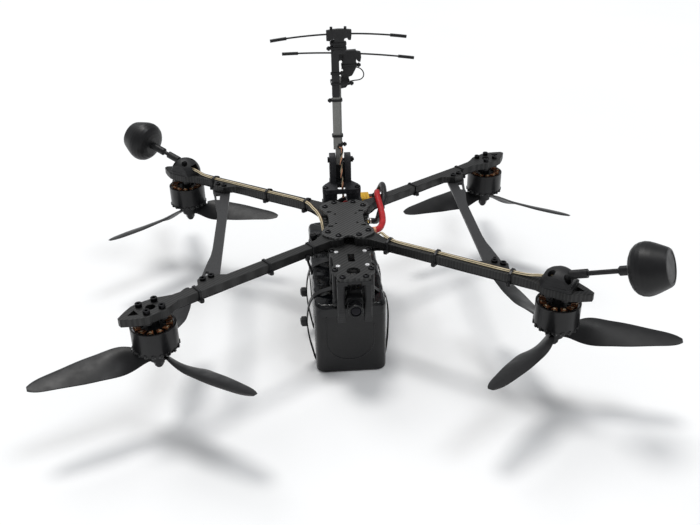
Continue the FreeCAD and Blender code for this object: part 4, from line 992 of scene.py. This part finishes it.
def make_power_leads():
    red_out = [(29.1, 72.3, z_plug), (34.6, 72.3, z_plug), (36.4, 69.6, z_plug + 4.0),
               (36.0, 62.0, z_arm_top - 3.8), (35.2, 55.6, z_arm_top + 2.6),
               (34.4, 49.0, z_arm_top + 4.7), (34.0, 42.0, z_arm_top + 4.6),
               (34.4, 33.0, z_arm_top + 3.1), (35.4, 22.0, z_arm_top - 0.1),
               (35.8, 10.0, z_arm_top - 2.6), (34.4, -3.0, z_pad + 0.3),
               (30.8, -13.4, z_pad - 0.2), (26.5, -17.2, z_pad), (21.9, -17.2, z_pad)]
    black_out = [(29.1, 80.2, z_plug), (34.0, 80.2, z_plug), (39.0, 77.4, z_plug + 8.0),
                 (41.6, 70.5, z_arm_top + 4.6), (41.8, 58.5, z_arm_top + 7.4),
                 (41.2, 46.5, z_arm_top + 6.2), (40.2, 37.5, z_arm_top + 2.6),
                 (35.6, 29.5, z_arm_top - 6.0), (32.8, 20.0, z_pad - 5.6),
                 (30.2, 11.0, z_pad - 4.4), (27.6, 4.4, z_pad - 1.4), (25.0, 2.8, z_pad),
                 (21.9, 2.8, z_pad)]
    red_in = [(10.9, 72.3, z_plug), (6.0, 72.3, z_plug), (1.8, 74.2, z_plug - 5.5),
              (0.5, 77.0, z_plug - 14.0), (0.5, 77.5, battery_high.z + 6.0),
              (0.5, 77.5, battery_high.z - 0.6)]
    black_in = [(10.9, 80.2, z_plug), (3.0, 80.2, z_plug), (-4.6, 79.6, z_plug - 5.5),
                (-7.5, 78.4, z_plug - 14.0), (-7.7, 77.9, battery_high.z + 6.0),
                (-7.7, 77.9, battery_high.z - 0.6)]
    for colour, material, routes, outer in (("red", silicone_red, (red_out, red_in), 6.1),
                                            ("black", silicone_black, (black_out, black_in), 5.7)):
        lead(colour + "_lead_out", routes[0], outer, material, "airframe",
             [colour + "_lead"])
        lead(colour + "_lead_in", routes[1], 5.4, material, "airframe")

    ends = Sculpt()
    for route in (red_out, black_out):
        end = Vector(route[-1])
        ends.turned([(0.1, -0.4), (2.2, -0.2), (2.9, 0.8), (2.8, 2.0), (2.2, 2.4)], end,
                    Vector(route[-2]) - end, 16)
    ends.piece("lead_solder_ends", solder, "airframe", "silver_steel", 60.0)

    for name, material, routes in (("lead_cuffs_red", silicone_orange, (red_out, red_in)),
                                   ("lead_cuffs_black", silicone_black, (black_out, black_in))):
        cuffs = Sculpt()
        for route in routes:
            first, second = Vector(route[0]), Vector(route[1])
            cuffs.turned([(2.8, -0.1), (3.5, 0.1), (3.6, 2.8), (3.4, 4.6), (3.0, 5.0)], first,
                         second - first, 20)
        cuffs.piece(name, material, "airframe", "silicone_black", 50.0)

    heat = Sculpt()
    end = Vector(red_out[-1])
    heat.turned([(2.8, 1.8), (3.3, 2.0), (3.35, 4.2), (3.0, 4.6)], end,
                Vector(red_out[-2]) - end, 20)
    heat.piece("lead_heat_end", peach_sleeve, "airframe", "silicone_red", 50.0)


def make_connector_detail():
    """Ribs across the top and bottom of the two connector halves."""
    sculpt = Sculpt()
    for x in (14.0, 17.0, 23.0, 26.0):
        for z in (plug_low.z - 0.1, plug_high.z + 0.1):
            sculpt.block(Vector((x, (plug_low.y + plug_high.y) / 2, z)), (1.0, 12.5, 0.7), 0.2)
    sculpt.piece("connector_ribs", connector_yellow, "airframe", "connector_yellow")


def arm_wire_route(corner):
    tails = {"front_right": [(28.2, -26.0, z_arm + 3.5), (24.2, -21.5, z_arm + 2.6)],
             "rear_left": [(-26.2, 24.0, z_arm + 6.0), (-22.8, 11.0, z_arm + 3.6),
                           (-21.6, -1.0, z_mid + 1.0), (-21.6, -9.0, z_mid - 3.5)]}
    rest = z_arm_top + 0.95
    along_arm = [(-7.0, 0.0, 5.6), (-17.5, 0.0, 3.9), (-29.0, 0.9, 0), (-70.0, 0.4, 0),
                 (-115.0, 1.3, 0), (-150.0, 0.6, 0), (-163.0, 4.8, 0.2), (-171.5, 11.6, 0)]
    route = [arm_point(corner, s, t, rest + up) for s, t, up in along_arm]
    return route + [Vector(p) for p in tails[corner]]


def make_arm_wires():
    for index, corner in enumerate(pod_corners):
        route = arm_wire_route(corner)
        lead("coax_" + corner, route, 1.5, lead_cream, "airframe",
             ["antenna_wires"] if index == 0 else ())
        front = arm_axes(corner)[1] * corners[corner][1]
        extras = (("cream", lead_cream, 1.7, -0.3, 0.9), ("black", coax_black, 1.02, 0.12, 0.62),
                  ("brown", lead_brown, -1.2, -0.25, 0.95))
        for name, material, shift, lift, thick in extras:
            side = []
            for step, point in enumerate(route):
                wander = 0.12 * math.sin(2.1 * step + shift)
                side.append(point + front * (shift + wander) + Z * lift)
            lead("thin_%s_%s" % (name, corner), side, thick, material, "airframe")


def make_mast_leads():
    """Thin leads twisted together, up through the bracket and into the mast's hole."""
    hole_z = mast_pivot.z + 14.5
    twist_pitch, twist_radius, strand_radius = 13.0, 0.66, 0.56
    route = [(1.6, 63.5, z_mid + 4.0), (1.6, 64.0, bracket_low.z + 4.8),
             (1.2, 66.5, bracket_low.z + 14.0), (0.6, 70.5, mast_pivot.z - 6.0),
             (0.6, 73.6, mast_pivot.z + 1.5), (1.8, 74.2, mast_pivot.z + 7.5),
             (2.6, 74.2, mast_pivot.z + 11.5), (1.4, 73.8, hole_z + 0.6),
             (0.2, 73.9, hole_z), (0.2, mast_pivot.y, hole_z)]
    path = nurbs_points(route, 12)
    strands = [("white", tooth_cream, 0.0), ("orange", peach_sleeve, 2.1),
               ("dark", coax_black, 4.2)]
    for index, (name, material, phase) in enumerate(strands):
        made = []
        travelled = 0.0
        for step, point in enumerate(path):
            if step:
                travelled += (point - path[step - 1]).length
            before, after = neighbours(path, step)
            ahead = (after - before).normalized()
            side = ahead.cross(Vector((0, 1, 0.2))).normalized()
            up = ahead.cross(side)
            a = phase + travelled * 2 * math.pi / twist_pitch
            made.append(point + side * (twist_radius * math.cos(a))
                        + up * (twist_radius * math.sin(a)))
        sculpt = Sculpt()
        sculpt.tube(made, strand_radius, 8)
        piece = sculpt.piece("mast_lead_" + name, material, None, "lead_mixed", 60.0)
        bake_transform(piece)
        if index == 0:
            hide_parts("mast_leads_lower", "mast_leads_upper")


def make_mast_cover():
    """A flat laminate strip down the front of the mast, with a grommet where the leads go in."""
    low, high = mast_pivot.z + 12.0, strip_low.z - 0.3
    front = mast_low.y - 1.3
    sculpt = Sculpt()
    sculpt.block(Vector(((strip_low.x + strip_high.x) / 2, (front + mast_low.y) / 2,
                         (low + high) / 2)),
                 (strip_high.x - strip_low.x, mast_low.y - front, high - low))
    sculpt.piece("mast_front_strip", mast_grey, "mast", "mast_black")
    ring = Sculpt()
    ring.turned([(0.4, 0.25), (1.5, 0.3), (1.8, 0.7), (2.4, 0.6), (2.6, 0.0), (2.6, -0.4)],
                Vector((0.2, front, mast_pivot.z + 14.9)), -Y)
    ring.piece("mast_grommet", coax_black, "mast", "antenna_black")


def make_camera_details():
    lens_low = box_mm("camera_lens")[0]
    front = Vector((camera_pivot.x, lens_low.y, camera_pivot.z))
    sculpt = Sculpt()
    sculpt.turned([(4.5, -0.6), (4.3, -0.3), (3.4, 0.1), (2.0, 0.4), (0.8, 0.5), (0.1, 0.52)],
                  front, -Y, 32)
    sculpt.piece("camera_glass", glass, "camera", "lens_black", 80.0)
    rim = Sculpt()
    rim.turned([(4.7, -0.8), (4.7, 0.2), (5.0, 0.45), (6.1, 0.3), (6.35, 0.0), (6.35, -1.2),
                (6.1, -1.4)], front, -Y, 40)
    rim.piece("camera_lens_rim", lens_rim, "camera", "lens_black")
    plug = Sculpt()
    plug.block(camera_pivot + Vector((0, 17.2, 16.0)), (6.0, 3.6, 2.0))
    plug.piece("camera_plug", label_white, "airframe", "camera_black")
    back = Sculpt()
    back.block(camera_pivot + Vector((0, 7.2, 0.5)), (9.0, 1.8, 5.0), 0.4)
    back.piece("camera_socket", label_white, "camera", "camera_black")
    strands = [(-1.8, silicone_black, "a"), (-0.6, coax_black, "b"), (0.6, silicone_black, "c"),
               (1.8, coax_black, "d")]
    for x, material, name in strands:
        route = [camera_pivot + Vector(place) for place in
                 ((x, 8.0, 0.5), (x, 11.0, 3.5), (x * 1.4, 9.0, 9.0), (x * 1.2, 11.0, 14.0),
                  (x, 16.0, 16.0))]
        strand = Sculpt()
        strand.tube(nurbs_points(route), 0.5, 8)
        piece = strand.piece("camera_lead_" + name, material, None, "lead_mixed", 60.0)
        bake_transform(piece)


def make_antenna_coax():
    """Thin coaxial loops of the two T antennas, held by their clamps and the mast."""
    z_low = box_mm("t_antenna_lower")[1].z
    y = mast_high.y + 3.0
    loops = [("coax_loop_lower", [(12.0, y + 2.6, z_low - 20.0), (16.0, y + 3.0, z_low - 16.5),
                                  (23.5, y + 3.0, z_low - 19.0), (26.2, y + 2.4, z_low - 25.0),
                                  (23.0, y + 2.0, z_low - 29.6), (14.0, y + 1.6, z_low - 30.0),
                                  (8.0, y + 0.8, z_low - 31.6), (4.4, y - 0.6, z_low - 34.0)]),
             ("coax_loop_upper", [(2.0, y - 8.0, z_low + 4.0), (5.2, y - 5.5, z_low - 2.0),
                                  (5.4, y - 3.0, z_low - 7.0), (4.6, y - 1.4, z_low - 12.0),
                                  (4.2, y - 0.6, z_low - 18.0)])]
    for name, route in loops:
        lead(name, route, 1.1, coax_black, "mast")


def make_board_details():
    """Small parts on the boards that show between the plates."""
    chips = Sculpt()
    high = box_mm("speed_controller")[1]
    for side in (-1, 1):
        for k in range(5):
            chips.block(Vector((side * 19.2, -11.5 + 5.6 * k, high.z - 0.4)), (2.6, 3.4, 1.2),
                        0.2)
    chips.piece("controller_chips", chip, "airframe", "board_black")
    pads = Sculpt()
    for y in (-17.0, 2.8):
        pads.block(Vector((20.0, y, high.z - 1.0)), (3.4, 5.6, 0.5), 0.15)
    for side in (-1, 1):
        for k in range(6):
            pads.block(Vector((-10.0 + 4.0 * k, side * 17.2, high.z - 1.1)), (2.2, 1.6, 0.4),
                       0.1)
    pads.piece("controller_pads", pad_gold, "airframe", "silver_steel")


finish_nodes()
make_stage()
make_lights()
make_camera()
make_battery_film()
make_battery_seam()
make_battery_ties()
make_arm_ties()
make_mast_ties()
for corner in corners:
    centre = Vector((motor_centre[corner].x, motor_centre[corner].y, 0))
    make_windings(corner, centre)
    make_bell_details(corner, centre)
make_phase_leads()
make_motor_sleeves()
make_power_leads()
make_connector_detail()
make_arm_wires()
make_mast_leads()
make_mast_cover()
make_camera_details()
make_antenna_coax()
make_board_details()
